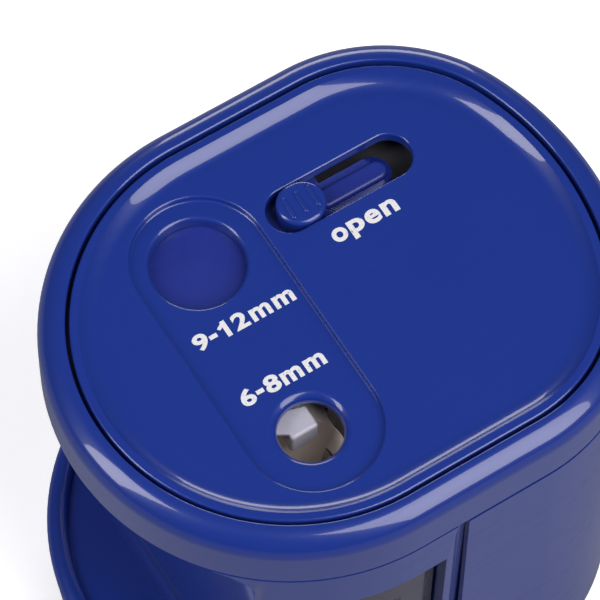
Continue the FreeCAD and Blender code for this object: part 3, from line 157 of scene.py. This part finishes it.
def go_round(bm, section, closed=False):
    """Carries a section, given as (out from the wall, height), once round the housing."""
    geom = row(bm, [(LEFT_X, SIDE_Y + out, z) for out, z in section], closed)
    run = CORNER.x - LEFT_X
    geom = swing(bm, geom, (LEFT_X, 0), math.pi, 72)
    geom = swing(bm, geom, (0, 0), 0, 1, (run, 0, 0))
    geom = swing(bm, geom, (CORNER.x, -CORNER.y), CORNER_TURN, 26)
    geom = swing(bm, geom, (END_X, 0), END_TURN, 20)
    geom = swing(bm, geom, CORNER, CORNER_TURN, 26)
    swing(bm, geom, (0, 0), 0, 1, (-run, 0, 0))
    bmesh.ops.remove_doubles(bm, verts=bm.verts, dist=MERGE)


def bend(x, z, radius, start, end, steps=6):
    """Section points on an arc, between two angles measured from outwards to up."""
    angles = [math.radians(start + (end - start) * i / steps) for i in range(steps + 1)]
    return [(x + radius * math.cos(a), z + radius * math.sin(a)) for a in angles]


def fill_level(bm, z):
    """Fills the flat area between all open edges at one height."""
    edges = [e for e in bm.edges if e.is_boundary or e.is_wire]
    edges = [e for e in edges if all(abs(v.co.z - z) < MERGE for v in e.verts)]
    bmesh.ops.triangle_fill(bm, use_beauty=True, use_dissolve=False, edges=edges)


def flat_plate(bm, out, low, high, right_end):
    """A plate with the housing's outline, cut off square at its right end."""
    plate = bmesh.new()
    go_round(plate, [(out, low)])
    fill_level(plate, low)
    geom = plate.verts[:] + plate.edges[:] + plate.faces[:]
    bmesh.ops.bisect_plane(plate, geom=geom, dist=1e-5, plane_co=(right_end, 0, 0),
                           plane_no=(-1, 0, 0), clear_inner=True)
    top = bmesh.ops.extrude_face_region(plate, geom=plate.faces[:])["geom"]
    bmesh.ops.translate(plate, vec=(0, 0, high - low),
                        verts=[v for v in top if isinstance(v, bmesh.types.BMVert)])
    add_to(bm, plate)


def add_to(bm, other):
    """Puts another mesh in with this one."""
    spare = bpy.data.meshes.new("spare")
    other.to_mesh(spare)
    other.free()
    bm.from_mesh(spare)
    bpy.data.meshes.remove(spare)


def finish_piece(bm, name, body, material, replaced, crease=35, scale=MM, turn_out=True):
    """Shades a mesh and seats it on its body; new meshes are drawn in millimetres."""
    if turn_out:
        bmesh.ops.remove_doubles(bm, verts=bm.verts, dist=MERGE)
        bmesh.ops.recalc_face_normals(bm, faces=bm.faces)
    bmesh.ops.scale(bm, vec=(scale, scale, scale), verts=bm.verts)
    mesh = bpy.data.meshes.new(name)
    bm.to_mesh(mesh)
    bm.free()
    mesh.shade_smooth()
    mesh.set_sharp_from_angle(angle=math.radians(crease))
    mesh.materials.append(material)
    piece = bpy.data.objects.new(name, mesh)
    bpy.context.scene.collection.objects.link(piece)
    even = piece.modifiers.new("even_shading", "WEIGHTED_NORMAL")
    even.keep_sharp = True
    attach(piece, body)
    if replaced:
        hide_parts(*replaced)


def add_node(tree, kind, place, **settings):
    """A shader node of one kind, at its place in the editor, with its settings."""
    node = tree.nodes.new(kind)
    node.location = place
    for key, value in settings.items():
        setattr(node, key, value)
    return node


# A moulded plastic's faint flow clouding, its orange-peel skin and fine rub marks.
moulded = bpy.data.node_groups.new("moulded_skin", "ShaderNodeTree")
for label, kind, value in (
        ("Colour", "NodeSocketColor", (0.5, 0.5, 0.5, 1)), ("Clouding", "NodeSocketFloat", 0.05),
        ("Roughness", "NodeSocketFloat", 0.25), ("Rubbing", "NodeSocketFloat", 0.08),
        ("Grain size", "NodeSocketFloat", 2500.0), ("Grain depth", "NodeSocketFloat", 0.02)):
    socket = moulded.interface.new_socket(label, in_out="INPUT", socket_type=kind)
    socket.default_value = value
moulded.interface.new_socket("Colour", in_out="OUTPUT", socket_type="NodeSocketColor")
moulded.interface.new_socket("Roughness", in_out="OUTPUT", socket_type="NodeSocketFloat")
moulded.interface.new_socket("Normal", in_out="OUTPUT", socket_type="NodeSocketVector")
wires = moulded.links.new
given = add_node(moulded, "NodeGroupInput", (-900, 0))
result = add_node(moulded, "NodeGroupOutput", (700, 0))
place = add_node(moulded, "ShaderNodeTexCoord", (-900, 300))
cloud = add_node(moulded, "ShaderNodeTexNoise", (-600, 300))
cloud.inputs["Scale"].default_value = 45
cloud.inputs["Detail"].default_value = 3
wires(place.outputs["Object"], cloud.inputs["Vector"])
lean = add_node(moulded, "ShaderNodeMath", (-400, 300), operation="SUBTRACT")
wires(cloud.outputs["Fac"], lean.inputs[0])
lean.inputs[1].default_value = 0.5
amount = add_node(moulded, "ShaderNodeMath", (-200, 300), operation="MULTIPLY_ADD")
wires(lean.outputs[0], amount.inputs[0])
wires(given.outputs["Clouding"], amount.inputs[1])
amount.inputs[2].default_value = 1.0
tint = add_node(moulded, "ShaderNodeVectorMath", (0, 200), operation="SCALE")
wires(given.outputs["Colour"], tint.inputs[0])
wires(amount.outputs[0], tint.inputs["Scale"])
wires(tint.outputs[0], result.inputs["Colour"])
streak_way = add_node(moulded, "ShaderNodeMapping", (-700, 0))
streak_way.inputs["Rotation"].default_value = (0.3, 0.2, 0.6)
streak_way.inputs["Scale"].default_value = (60, 1400, 700)
wires(place.outputs["Object"], streak_way.inputs["Vector"])
streak = add_node(moulded, "ShaderNodeTexNoise", (-500, 0))
streak.inputs["Scale"].default_value = 1
streak.inputs["Detail"].default_value = 2
wires(streak_way.outputs[0], streak.inputs["Vector"])
worn = add_node(moulded, "ShaderNodeMapRange", (-300, 0))
worn.inputs["From Min"].default_value = 0.56
worn.inputs["From Max"].default_value = 0.72
wires(streak.outputs["Fac"], worn.inputs["Value"])
rubbed = add_node(moulded, "ShaderNodeMath", (-100, 0), operation="MULTIPLY_ADD")
wires(worn.outputs[0], rubbed.inputs[0])
wires(given.outputs["Rubbing"], rubbed.inputs[1])
wires(given.outputs["Roughness"], rubbed.inputs[2])
wires(rubbed.outputs[0], result.inputs["Roughness"])
peel = add_node(moulded, "ShaderNodeTexNoise", (-500, -300))
peel.inputs["Detail"].default_value = 2
wires(place.outputs["Object"], peel.inputs["Vector"])
wires(given.outputs["Grain size"], peel.inputs["Scale"])
skin = add_node(moulded, "ShaderNodeBump", (100, -300))
skin.inputs["Distance"].default_value = 0.00005
wires(peel.outputs["Fac"], skin.inputs["Height"])
wires(given.outputs["Grain depth"], skin.inputs["Strength"])
wires(skin.outputs["Normal"], result.inputs["Normal"])


def plastic(name, colour, roughness, clouding=0.08, rubbing=0.08, grain=900, depth=0.04,
            **shader_values):
    """A moulded plastic's material: the shared skin with this plastic's own values."""
    material = bpy.data.materials.new(name)
    material.use_nodes = True
    tree = material.node_tree
    shader = tree.nodes["Principled BSDF"]
    made = add_node(tree, "ShaderNodeGroup", (-300, 0), node_tree=moulded)
    made.inputs["Colour"].default_value = (*colour, 1)
    made.inputs["Clouding"].default_value = clouding
    made.inputs["Roughness"].default_value = roughness
    made.inputs["Rubbing"].default_value = rubbing
    made.inputs["Grain size"].default_value = grain
    made.inputs["Grain depth"].default_value = depth
    tree.links.new(made.outputs["Colour"], shader.inputs["Base Color"])
    tree.links.new(made.outputs["Roughness"], shader.inputs["Roughness"])
    tree.links.new(made.outputs["Normal"], shader.inputs["Normal"])
    for socket, value in shader_values.items():
        shader.inputs[socket.replace("_", " ")].default_value = value
    return material


blue_gloss = plastic("blue_gloss", (0.0092, 0.0300, 0.225), 0.30, 0.08, 0.05,
                     Specular_IOR_Level=0.25, Coat_Weight=0.7, Coat_Roughness=0.045)

HEAD_Z = 65.8
CREST_Z = 76.1
SHOULDER_R = 3.4
LIP_R = 0.35
EDGE_R = 0.5
GROOVE_OUT = -3.75          # outer wall of the groove round the panel
LEDGE_OUT = -5.0            # free edge of the ledge that carries the panel
LEDGE_T = 1.6
WEB_T = 1.6
WEB_END = -26.1
PANEL_SEAT_Z = 72.0
bm = bmesh.new()
go_round(bm, [(-WALL, HEAD_Z)] + bend(-EDGE_R, HEAD_Z + EDGE_R, EDGE_R, -90, 0)
         + bend(-SHOULDER_R, CREST_Z - SHOULDER_R, SHOULDER_R, 0, 90, 16)
         + bend(-SHOULDER_R, CREST_Z - LIP_R, LIP_R, 90, 180)[1:]
         + [(GROOVE_OUT, PANEL_SEAT_Z), (LEDGE_OUT, PANEL_SEAT_Z),
            (LEDGE_OUT, PANEL_SEAT_Z - LEDGE_T), (-WALL, PANEL_SEAT_Z - LEDGE_T)],
         closed=True)
flat_plate(bm, -WALL, HEAD_Z, HEAD_Z + WEB_T, WEB_END)
finish_piece(bm, "head_cap", "housing", blue_gloss, ["head_shell"])


# ---------------------------------------------------------------------------
# Top panel: a separate blue plate that drops into the head. A hollow slope
# leads from its border down to the flat, and a long dish round the two pencil
# holes lies lower still; the slot for the slide is at the back.
# ---------------------------------------------------------------------------
BORDER_Z = 75.8
FLAT_Z = 74.6
DISH_Z = 73.8
UNDER_Z = 72.9
HOLE_X = -12.4
HOLE_Y = 14.0
SMALL_HOLE = Vector((HOLE_X, -HOLE_Y))
LARGE_HOLE = Vector((HOLE_X, HOLE_Y))
DISH_X = -12.1
DISH_HALF = 9.3
DISH_ROUND = 0.35
SLOT_A = Vector((1.93, HOLE_Y))
SLOT_B = Vector((17.39, HOLE_Y))
SLOT_HALF = 3.27
SLOT_ROUND = 0.3
PANEL_OUT = -4.25           # the panel's edge, in from the head's wall
FOOT_OUT = -8.05            # foot of the hollow slope
SLOPE_W = 2.6
SEAT_W = 2.15               # width of the rim that rests on the ledge


def go_round_slot(bm, section, a, b, steps=40):
    """Carries a section, given as (radius, height), round a slot with centres a and b."""
    way = (b - a).normalized()
    side = Vector((way.y, -way.x))
    geom = row(bm, [(b.x + side.x * r, b.y + side.y * r, z) for r, z in section])
    geom = swing(bm, geom, b, math.pi, steps)
    geom = swing(bm, geom, (0, 0), 0, 1, (a.x - b.x, a.y - b.y, 0))
    geom = swing(bm, geom, a, math.pi, steps)
    swing(bm, geom, (0, 0), 0, 1, (b.x - a.x, b.y - a.y, 0))


def turn_round(bm, section, centre, steps=72, closed=False):
    """Turns a section, given as (radius, height), once about an upright axis."""
    geom = row(bm, [(centre[0] + r, centre[1], z) for r, z in section], closed)
    bmesh.ops.spin(bm, geom=geom, cent=(centre[0], centre[1], 0), axis=UP,
                   angle=2 * math.pi, steps=steps, use_merge=True)


bm = bmesh.new()
drop = BORDER_Z - FLAT_Z
hollow_r = (SLOPE_W ** 2 + drop ** 2) / (2 * drop)
hollow = math.degrees(math.acos(1 - drop / hollow_r))
go_round(bm, [(PANEL_OUT - SEAT_W, UNDER_Z), (PANEL_OUT - SEAT_W, PANEL_SEAT_Z),
              (PANEL_OUT, PANEL_SEAT_Z)]
         + bend(PANEL_OUT - LIP_R, BORDER_Z - LIP_R, LIP_R, 0, 90)
         + bend(FOOT_OUT, FLAT_Z + hollow_r, hollow_r, hollow - 90, -90, 14))
go_round_slot(bm, bend(DISH_HALF + DISH_ROUND, FLAT_Z - DISH_ROUND, DISH_ROUND, 90, 180)
              + bend(DISH_HALF - DISH_ROUND, DISH_Z + DISH_ROUND, DISH_ROUND, 0, -90),
              Vector((DISH_X, -HOLE_Y)), Vector((DISH_X, HOLE_Y)))
for centre, radius, edge in ((SMALL_HOLE, 4.4, 1.2), (LARGE_HOLE, 6.5, 0.6)):
    turn_round(bm, bend(radius + edge, DISH_Z - edge, edge, 90, 180, 10)
               + [(radius, PANEL_SEAT_Z), (radius + 1.2, PANEL_SEAT_Z), (radius + 1.2, UNDER_Z)],
               centre)
go_round_slot(bm, bend(SLOT_HALF + SLOT_ROUND, FLAT_Z - SLOT_ROUND, SLOT_ROUND, 90, 180)
              + [(SLOT_HALF, UNDER_Z)], SLOT_A, SLOT_B)
bmesh.ops.remove_doubles(bm, verts=bm.verts, dist=MERGE)
for level in (FLAT_Z, DISH_Z, UNDER_Z):
    fill_level(bm, level)
finish_piece(bm, "top_plate", "housing", blue_gloss, ["top_panel"])


# ---------------------------------------------------------------------------
# Markings: the two pencil sizes and the word by the slide, printed on the top
# panel in thick white ink that has dried with a few pinholes.
# ---------------------------------------------------------------------------
INK_H = 0.03
white_ink = bpy.data.materials.new("white_ink")
white_ink.use_nodes = True
tree = white_ink.node_tree
shader = tree.nodes["Principled BSDF"]
spot = add_node(tree, "ShaderNodeTexCoord", (-900, 0))
specks = add_node(tree, "ShaderNodeTexNoise", (-700, 0))
specks.inputs["Scale"].default_value = 3800
specks.inputs["Detail"].default_value = 3
tree.links.new(spot.outputs["Object"], specks.inputs["Vector"])
cover = add_node(tree, "ShaderNodeValToRGB", (-500, 0))
cover.color_ramp.elements[0].position = 0.29
cover.color_ramp.elements[0].color = (0.22, 0.25, 0.42, 1)
cover.color_ramp.elements[1].position = 0.37
cover.color_ramp.elements[1].color = (0.70, 0.70, 0.69, 1)
tree.links.new(specks.outputs["Fac"], cover.inputs["Fac"])
tree.links.new(cover.outputs["Color"], shader.inputs["Base Color"])
ink_skin = add_node(tree, "ShaderNodeBump", (-300, -300))
ink_skin.inputs["Distance"].default_value = 0.00004
ink_skin.inputs["Strength"].default_value = 0.4
tree.links.new(specks.outputs["Fac"], ink_skin.inputs["Height"])
tree.links.new(ink_skin.outputs["Normal"], shader.inputs["Normal"])
shader.inputs["Roughness"].default_value = 0.55


def print_word(name, letters, y0, y1, z):
    """Prints a word's letters, each of which fills its space from x0 to x1."""
    word = bmesh.new()
    for letter, x0, x1, low, high in letters:
        curve = bpy.data.curves.new(name, "FONT")
        curve.body = letter
        curve.bevel_depth = 0.035
        curve.bevel_resolution = 0
        drawn = bpy.data.objects.new(name, curve)
        bpy.context.scene.collection.objects.link(drawn)
        bpy.context.view_layer.update()
        mesh = bpy.data.meshes.new_from_object(drawn)
        bpy.data.objects.remove(drawn)
        one = bmesh.new()
        one.from_mesh(mesh)
        bpy.data.meshes.remove(mesh)
        if letter == "1":
            flag = bmesh.ops.create_cube(one, size=1)["verts"]
            bmesh.ops.scale(one, vec=(0.30, 0.14, 0.06), verts=flag)
            bmesh.ops.rotate(one, cent=(0, 0, 0), verts=flag,
                             matrix=Matrix.Rotation(math.radians(38), 3, "Z"))
            stem = max(v.co.x for v in one.verts)
            top = max(v.co.y for v in one.verts)
            bmesh.ops.translate(one, vec=(stem - 0.20, top - 0.19, 0), verts=flag)
        spans = []
        for axis in range(3):
            along = [v.co[axis] for v in one.verts]
            spans.append((min(along), max(along) - min(along)))
        floor_y = y0 + low * (y1 - y0)
        sizes = (x1 - x0, (high - low) * (y1 - y0), INK_H)
        bmesh.ops.translate(one, vec=[-span[0] for span in spans], verts=one.verts)
        bmesh.ops.scale(one, vec=[size / span[1] for size, span in zip(sizes, spans)],
                        verts=one.verts)
        bmesh.ops.translate(one, vec=(x0, floor_y, z), verts=one.verts)
        add_to(word, one)
    finish_piece(word, name, "housing", white_ink, [], 60)


# each letter: its left and right edge, its foot and its top as shares of the height
print_word("mark_large_pencils",
           [("9", -19.05, -17.0, 0, 1), ("-", -16.8, -15.65, 0.32, 0.57),
            ("1", -15.3, -13.85, 0, 1), ("2", -13.1, -11.0, 0, 1),
            ("m", -10.5, -7.55, 0, 0.76), ("m", -7.0, -4.0, 0, 0.76)], 2.72, 5.2, DISH_Z)
print_word("mark_small_pencils",
           [("6", -18.05, -16.0, 0, 1), ("-", -15.75, -14.65, 0.32, 0.57),
            ("8", -14.35, -12.2, 0, 1), ("m", -11.9, -8.95, 0, 0.76),
            ("m", -8.4, -5.45, 0, 0.76)], -7.2, -4.7, DISH_Z)
print_word("mark_slide",
           [("o", 4.5, 6.7, 0.25, 1), ("p", 7.05, 9.35, 0, 1), ("e", 9.65, 11.85, 0.25, 1),
            ("n", 12.25, 14.5, 0.26, 1)], 5.7, 8.5, FLAT_Z)


# ---------------------------------------------------------------------------
# Body, side cover and base: glossy blue ABS mouldings. The body carries the
# bin bay and the flat wall of the open left end; the cover clips over the
# battery end and reaches down to the table; the tray below ends in a bead.
# ---------------------------------------------------------------------------
owner = {node: body for body, members in frame["record"]["behaviour"]["bodies"].items()
         for node in members}


def joined_copy(node, name, material, crease=28):
    """The frame's own shape with its triangles joined, so that its curves shade evenly."""
    bm = bmesh.new()
    bm.from_mesh(nodes[node].data)
    bmesh.ops.remove_doubles(bm, verts=bm.verts, dist=1e-6)
    finish_piece(bm, name, owner[node], material, [node], crease, 1.0, False)


joined_copy("body_shell", "body_moulding", blue_gloss)
joined_copy("side_cover", "battery_cover", blue_gloss)
joined_copy("base_tray", "base_moulding", blue_gloss)


# ---------------------------------------------------------------------------
# Underside: a satin blue bottom plate, the battery lid on its hinge, four
# rubber feet pressed into their rings, and the plated screws.
# ---------------------------------------------------------------------------
blue_satin = plastic("blue_satin", (0.012, 0.026, 0.22), 0.38, 0.1, 0.1, 1600, 0.25)
foot_rubber = plastic("foot_rubber", (0.018, 0.018, 0.020), 0.75, 0.3, 0.1, 2600, 0.5)

# A machined or plated metal's fine lay lines, handling marks and uneven shine.
machined = bpy.data.node_groups.new("machined_skin", "ShaderNodeTree")
for label, kind, value in (
        ("Colour", "NodeSocketColor", (0.5, 0.5, 0.5, 1)), ("Roughness", "NodeSocketFloat", 0.3),
        ("Lay", "NodeSocketFloat", 3000.0), ("Tarnish", "NodeSocketFloat", 0.2)):
    socket = machined.interface.new_socket(label, in_out="INPUT", socket_type=kind)
    socket.default_value = value
machined.interface.new_socket("Colour", in_out="OUTPUT", socket_type="NodeSocketColor")
machined.interface.new_socket("Roughness", in_out="OUTPUT", socket_type="NodeSocketFloat")
machined.interface.new_socket("Normal", in_out="OUTPUT", socket_type="NodeSocketVector")
wires = machined.links.new
given = add_node(machined, "NodeGroupInput", (-900, 0))
result = add_node(machined, "NodeGroupOutput", (700, 0))
place = add_node(machined, "ShaderNodeTexCoord", (-900, 300))
stain = add_node(machined, "ShaderNodeTexNoise", (-600, 300))
stain.inputs["Scale"].default_value = 260
stain.inputs["Detail"].default_value = 5
wires(place.outputs["Object"], stain.inputs["Vector"])
dulled = add_node(machined, "ShaderNodeMath", (-400, 300), operation="MULTIPLY")
wires(stain.outputs["Fac"], dulled.inputs[0])
wires(given.outputs["Tarnish"], dulled.inputs[1])
bright = add_node(machined, "ShaderNodeMath", (-200, 300), operation="SUBTRACT")
bright.inputs[0].default_value = 1.0
wires(dulled.outputs[0], bright.inputs[1])
tone = add_node(machined, "ShaderNodeVectorMath", (0, 300), operation="SCALE")
wires(given.outputs["Colour"], tone.inputs[0])
wires(bright.outputs[0], tone.inputs["Scale"])
wires(tone.outputs[0], result.inputs["Colour"])
lay_way = add_node(machined, "ShaderNodeVectorMath", (-600, 0), operation="MULTIPLY")
lay_way.inputs[1].default_value = (0.05, 0.05, 1.0)
wires(place.outputs["Object"], lay_way.inputs[0])
lines = add_node(machined, "ShaderNodeTexNoise", (-400, 0))
lines.inputs["Detail"].default_value = 3
wires(lay_way.outputs[0], lines.inputs["Vector"])
wires(given.outputs["Lay"], lines.inputs["Scale"])
matt = add_node(machined, "ShaderNodeMath", (-200, 0), operation="MULTIPLY_ADD")
wires(lines.outputs["Fac"], matt.inputs[0])
matt.inputs[1].default_value = 0.16
wires(given.outputs["Roughness"], matt.inputs[2])
wires(matt.outputs[0], result.inputs["Roughness"])
ridges = add_node(machined, "ShaderNodeBump", (100, -200))
ridges.inputs["Distance"].default_value = 0.00002
ridges.inputs["Strength"].default_value = 0.35
wires(lines.outputs["Fac"], ridges.inputs["Height"])
wires(ridges.outputs["Normal"], result.inputs["Normal"])


def metal(name, colour, roughness, lay=3000, tarnish=0.25):
    """A metal's material: the shared machined skin with this metal's own values."""
    material = bpy.data.materials.new(name)
    material.use_nodes = True
    tree = material.node_tree
    shader = tree.nodes["Principled BSDF"]
    made = add_node(tree, "ShaderNodeGroup", (-300, 0), node_tree=machined)
    made.inputs["Colour"].default_value = (*colour, 1)
    made.inputs["Roughness"].default_value = roughness
    made.inputs["Lay"].default_value = lay
    made.inputs["Tarnish"].default_value = tarnish
    for socket, place in (("Colour", "Base Color"), ("Roughness", "Roughness"),
                          ("Normal", "Normal")):
        tree.links.new(made.outputs[socket], shader.inputs[place])
    shader.inputs["Metallic"].default_value = 1.0
    return material


zinc_screw = metal("zinc_screw", (0.62, 0.63, 0.64), 0.22)
joined_copy("base_plate", "bottom_plate", blue_satin)
joined_copy("battery_lid", "battery_door", blue_satin)
joined_copy("rubber_feet", "feet", foot_rubber)
for node in ("base_screws", "frame_screws", "deck_screws", "motor_screws",
             "blade_screw_small", "blade_screw_large"):
    joined_copy(node, node + "_turned", zinc_screw)


# ---------------------------------------------------------------------------
# Slide: the satin shutter under the panel closes the large hole, and a glossy
# knob stands up through the slot on it, with three moulded grip ribs.
# ---------------------------------------------------------------------------
KNOB_FOOT = 71.8
KNOB_TOP = 75.15
KNOB_R = 3.15
KNOB_ROUND = 0.6
KNOB_A = Vector((3.36, HOLE_Y))
KNOB_B = Vector((3.96, HOLE_Y))
RIB_X = (KNOB_A.x + KNOB_B.x) / 2
RIB_HALF = 0.34
RIB_H = 0.2
RIB_REACH = 1.4
RIB_PITCH = 1.9
joined_copy("shutter_plate", "shutter", blue_satin)
bm = bmesh.new()
go_round_slot(bm, [(KNOB_R, KNOB_FOOT)]
              + bend(KNOB_R - KNOB_ROUND, KNOB_TOP - KNOB_ROUND, KNOB_ROUND, 0, 90, 8),
              KNOB_A, KNOB_B, 32)
bmesh.ops.remove_doubles(bm, verts=bm.verts, dist=MERGE)
fill_level(bm, KNOB_FOOT)
fill_level(bm, KNOB_TOP)
for step in (-1, 0, 1):
    x = RIB_X + step * RIB_PITCH
    rib = bmesh.new()
    go_round_slot(rib, [(RIB_HALF, KNOB_TOP - 0.1), (RIB_HALF, KNOB_TOP)]
                  + bend(RIB_HALF - RIB_H, KNOB_TOP, RIB_H, 20, 90),
                  Vector((x, HOLE_Y - RIB_REACH)), Vector((x, HOLE_Y + RIB_REACH)), 12)
    bmesh.ops.remove_doubles(rib, verts=rib.verts, dist=MERGE)
    fill_level(rib, KNOB_TOP - 0.1)
    fill_level(rib, KNOB_TOP + RIB_H)
    add_to(bm, rib)
finish_piece(bm, "slide_button", "shutter", blue_gloss, ["slide_knob"], 30)


# ---------------------------------------------------------------------------
# Pencil ways: an oiled steel sleeve under each hole, and in its side a white
# nylon paddle, which the pencil pushes back against a touch switch.
# ---------------------------------------------------------------------------
dark_metal = metal("dark_metal", (0.11, 0.11, 0.12), 0.24, 900, 0.6)
white_nylon = plastic("white_nylon", (0.50, 0.50, 0.58), 0.36, 0.06, 0.05, 1400, 0.2,
                      Subsurface_Weight=0.25, Subsurface_Scale=0.0015)
black_plastic = plastic("black_plastic", (0.022, 0.022, 0.024), 0.4, 0.2, 0.1, 1800, 0.4)
red_plastic = plastic("red_plastic", (0.42, 0.02, 0.02), 0.35)
ground_steel = metal("ground_steel", (0.60, 0.60, 0.61), 0.16, 5000)
joined_copy("guide_sleeve_small", "small_sleeve", dark_metal)
joined_copy("guide_sleeve_large", "large_sleeve", dark_metal)
joined_copy("pencil_lever_small", "small_lever", white_nylon)
joined_copy("pencil_lever_large", "large_lever", white_nylon)
joined_copy("lever_pins", "lever_pivots", ground_steel)
joined_copy("touch_switches", "pencil_switches", black_plastic)
joined_copy("switch_buttons", "switch_plungers", red_plastic)


# ---------------------------------------------------------------------------
# Cutters: a cream nylon gear and conical block turn together under each
# hole, with a ground blade screwed to the block's flat.
# ---------------------------------------------------------------------------
cream_nylon = plastic("cream_nylon", (0.88, 0.78, 0.72), 0.33, 0.1, 0.08, 1200, 0.2,
                      Subsurface_Weight=0.15, Subsurface_Scale=0.001)
blade_steel = metal("blade_steel", (0.72, 0.72, 0.74), 0.10, 7000, 0.1)
for size in ("small", "large"):
    joined_copy("cutter_gear_" + size, size + "_cutter_wheel", cream_nylon)
    joined_copy("cutter_block_" + size, size + "_cutter_cone", cream_nylon)
    joined_copy("cutter_blade_" + size, size + "_blade", blade_steel)


# ---------------------------------------------------------------------------
# Gear case: a grey plate, its grey darkened with painted shade, with bearing collars and posts
# carries the cutters, a deck screwed on the posts closes it, and a white idler turns on its
# axle.
# ---------------------------------------------------------------------------
# painted shade: this grey is made darker than the plastic so that the slot's tail looks as dark
# as the shade in it
grey_plastic = plastic("grey_plastic", (0.030, 0.031, 0.040), 0.42, 0.1, 0.1, 1500, 0.4)
joined_copy("gear_frame", "gear_plate", grey_plastic)
joined_copy("upper_deck", "gear_deck", grey_plastic)
joined_copy("drive_axle", "idler_axle", ground_steel)
joined_copy("drive_gear", "idler_gear", white_nylon)


# ---------------------------------------------------------------------------
# Motor: a plated can with a black end cap and two brass tabs; inside, two
# ferrite magnets and the slotted iron rotor on its shaft, with a brass pinion.
# ---------------------------------------------------------------------------
motor_plating = metal("motor_plating", (0.56, 0.56, 0.55), 0.28, 2200)
contact_brass = metal("contact_brass", (0.72, 0.50, 0.20), 0.22)
magnet_ferrite = plastic("magnet_ferrite", (0.06, 0.06, 0.065), 0.6, 0.3, 0.1, 3000, 0.6)
rotor_iron = metal("rotor_iron", (0.33, 0.31, 0.30), 0.4, 9000, 0.4)
for node, name, material in (
        ("motor_can", "can", motor_plating), ("motor_end_cap", "brush_cap", black_plastic),
        ("motor_terminals", "tabs", contact_brass), ("motor_magnets", "magnets", magnet_ferrite),
        ("motor_rotor", "core", rotor_iron), ("motor_shaft", "shaft", ground_steel),
        ("motor_pinion", "pinion", contact_brass)):
    joined_copy(node, "motor_" + name + "_part", material)


# ---------------------------------------------------------------------------
# Battery end: four cells in plain green film sleeves, held by a rack in the grey darkened
# with painted shade, with nickel-plated contacts above and cone springs on the lid below.
# ---------------------------------------------------------------------------
cell_sleeve = plastic("cell_sleeve", (0.03, 0.20, 0.11), 0.25, 0.1, 0.15, Coat_Weight=0.4)
contact_nickel = metal("contact_nickel", (0.66, 0.63, 0.58), 0.14)
joined_copy("battery_cells", "cells", cell_sleeve)
joined_copy("cell_rack", "rack", grey_plastic)
joined_copy("contact_board", "contact_plate", grey_plastic)
joined_copy("top_contacts", "contacts", contact_nickel)
joined_copy("cell_springs", "springs", contact_nickel)


# ---------------------------------------------------------------------------
# Shavings bin: a low tray of smoky clear styrene that slides out to the
# front, with a bar to pull it by, and the black switch that it keeps closed.
# ---------------------------------------------------------------------------
smoke_clear = plastic("smoke_clear", (0.20, 0.18, 0.26), 0.08, 0.03, 0.1, IOR=1.55,
                      Transmission_Weight=0.85)
joined_copy("bin_tray", "bin", smoke_clear)
joined_copy("bin_pull", "bin_bar", smoke_clear)
joined_copy("bin_switch", "bin_safety_switch", black_plastic)


import json
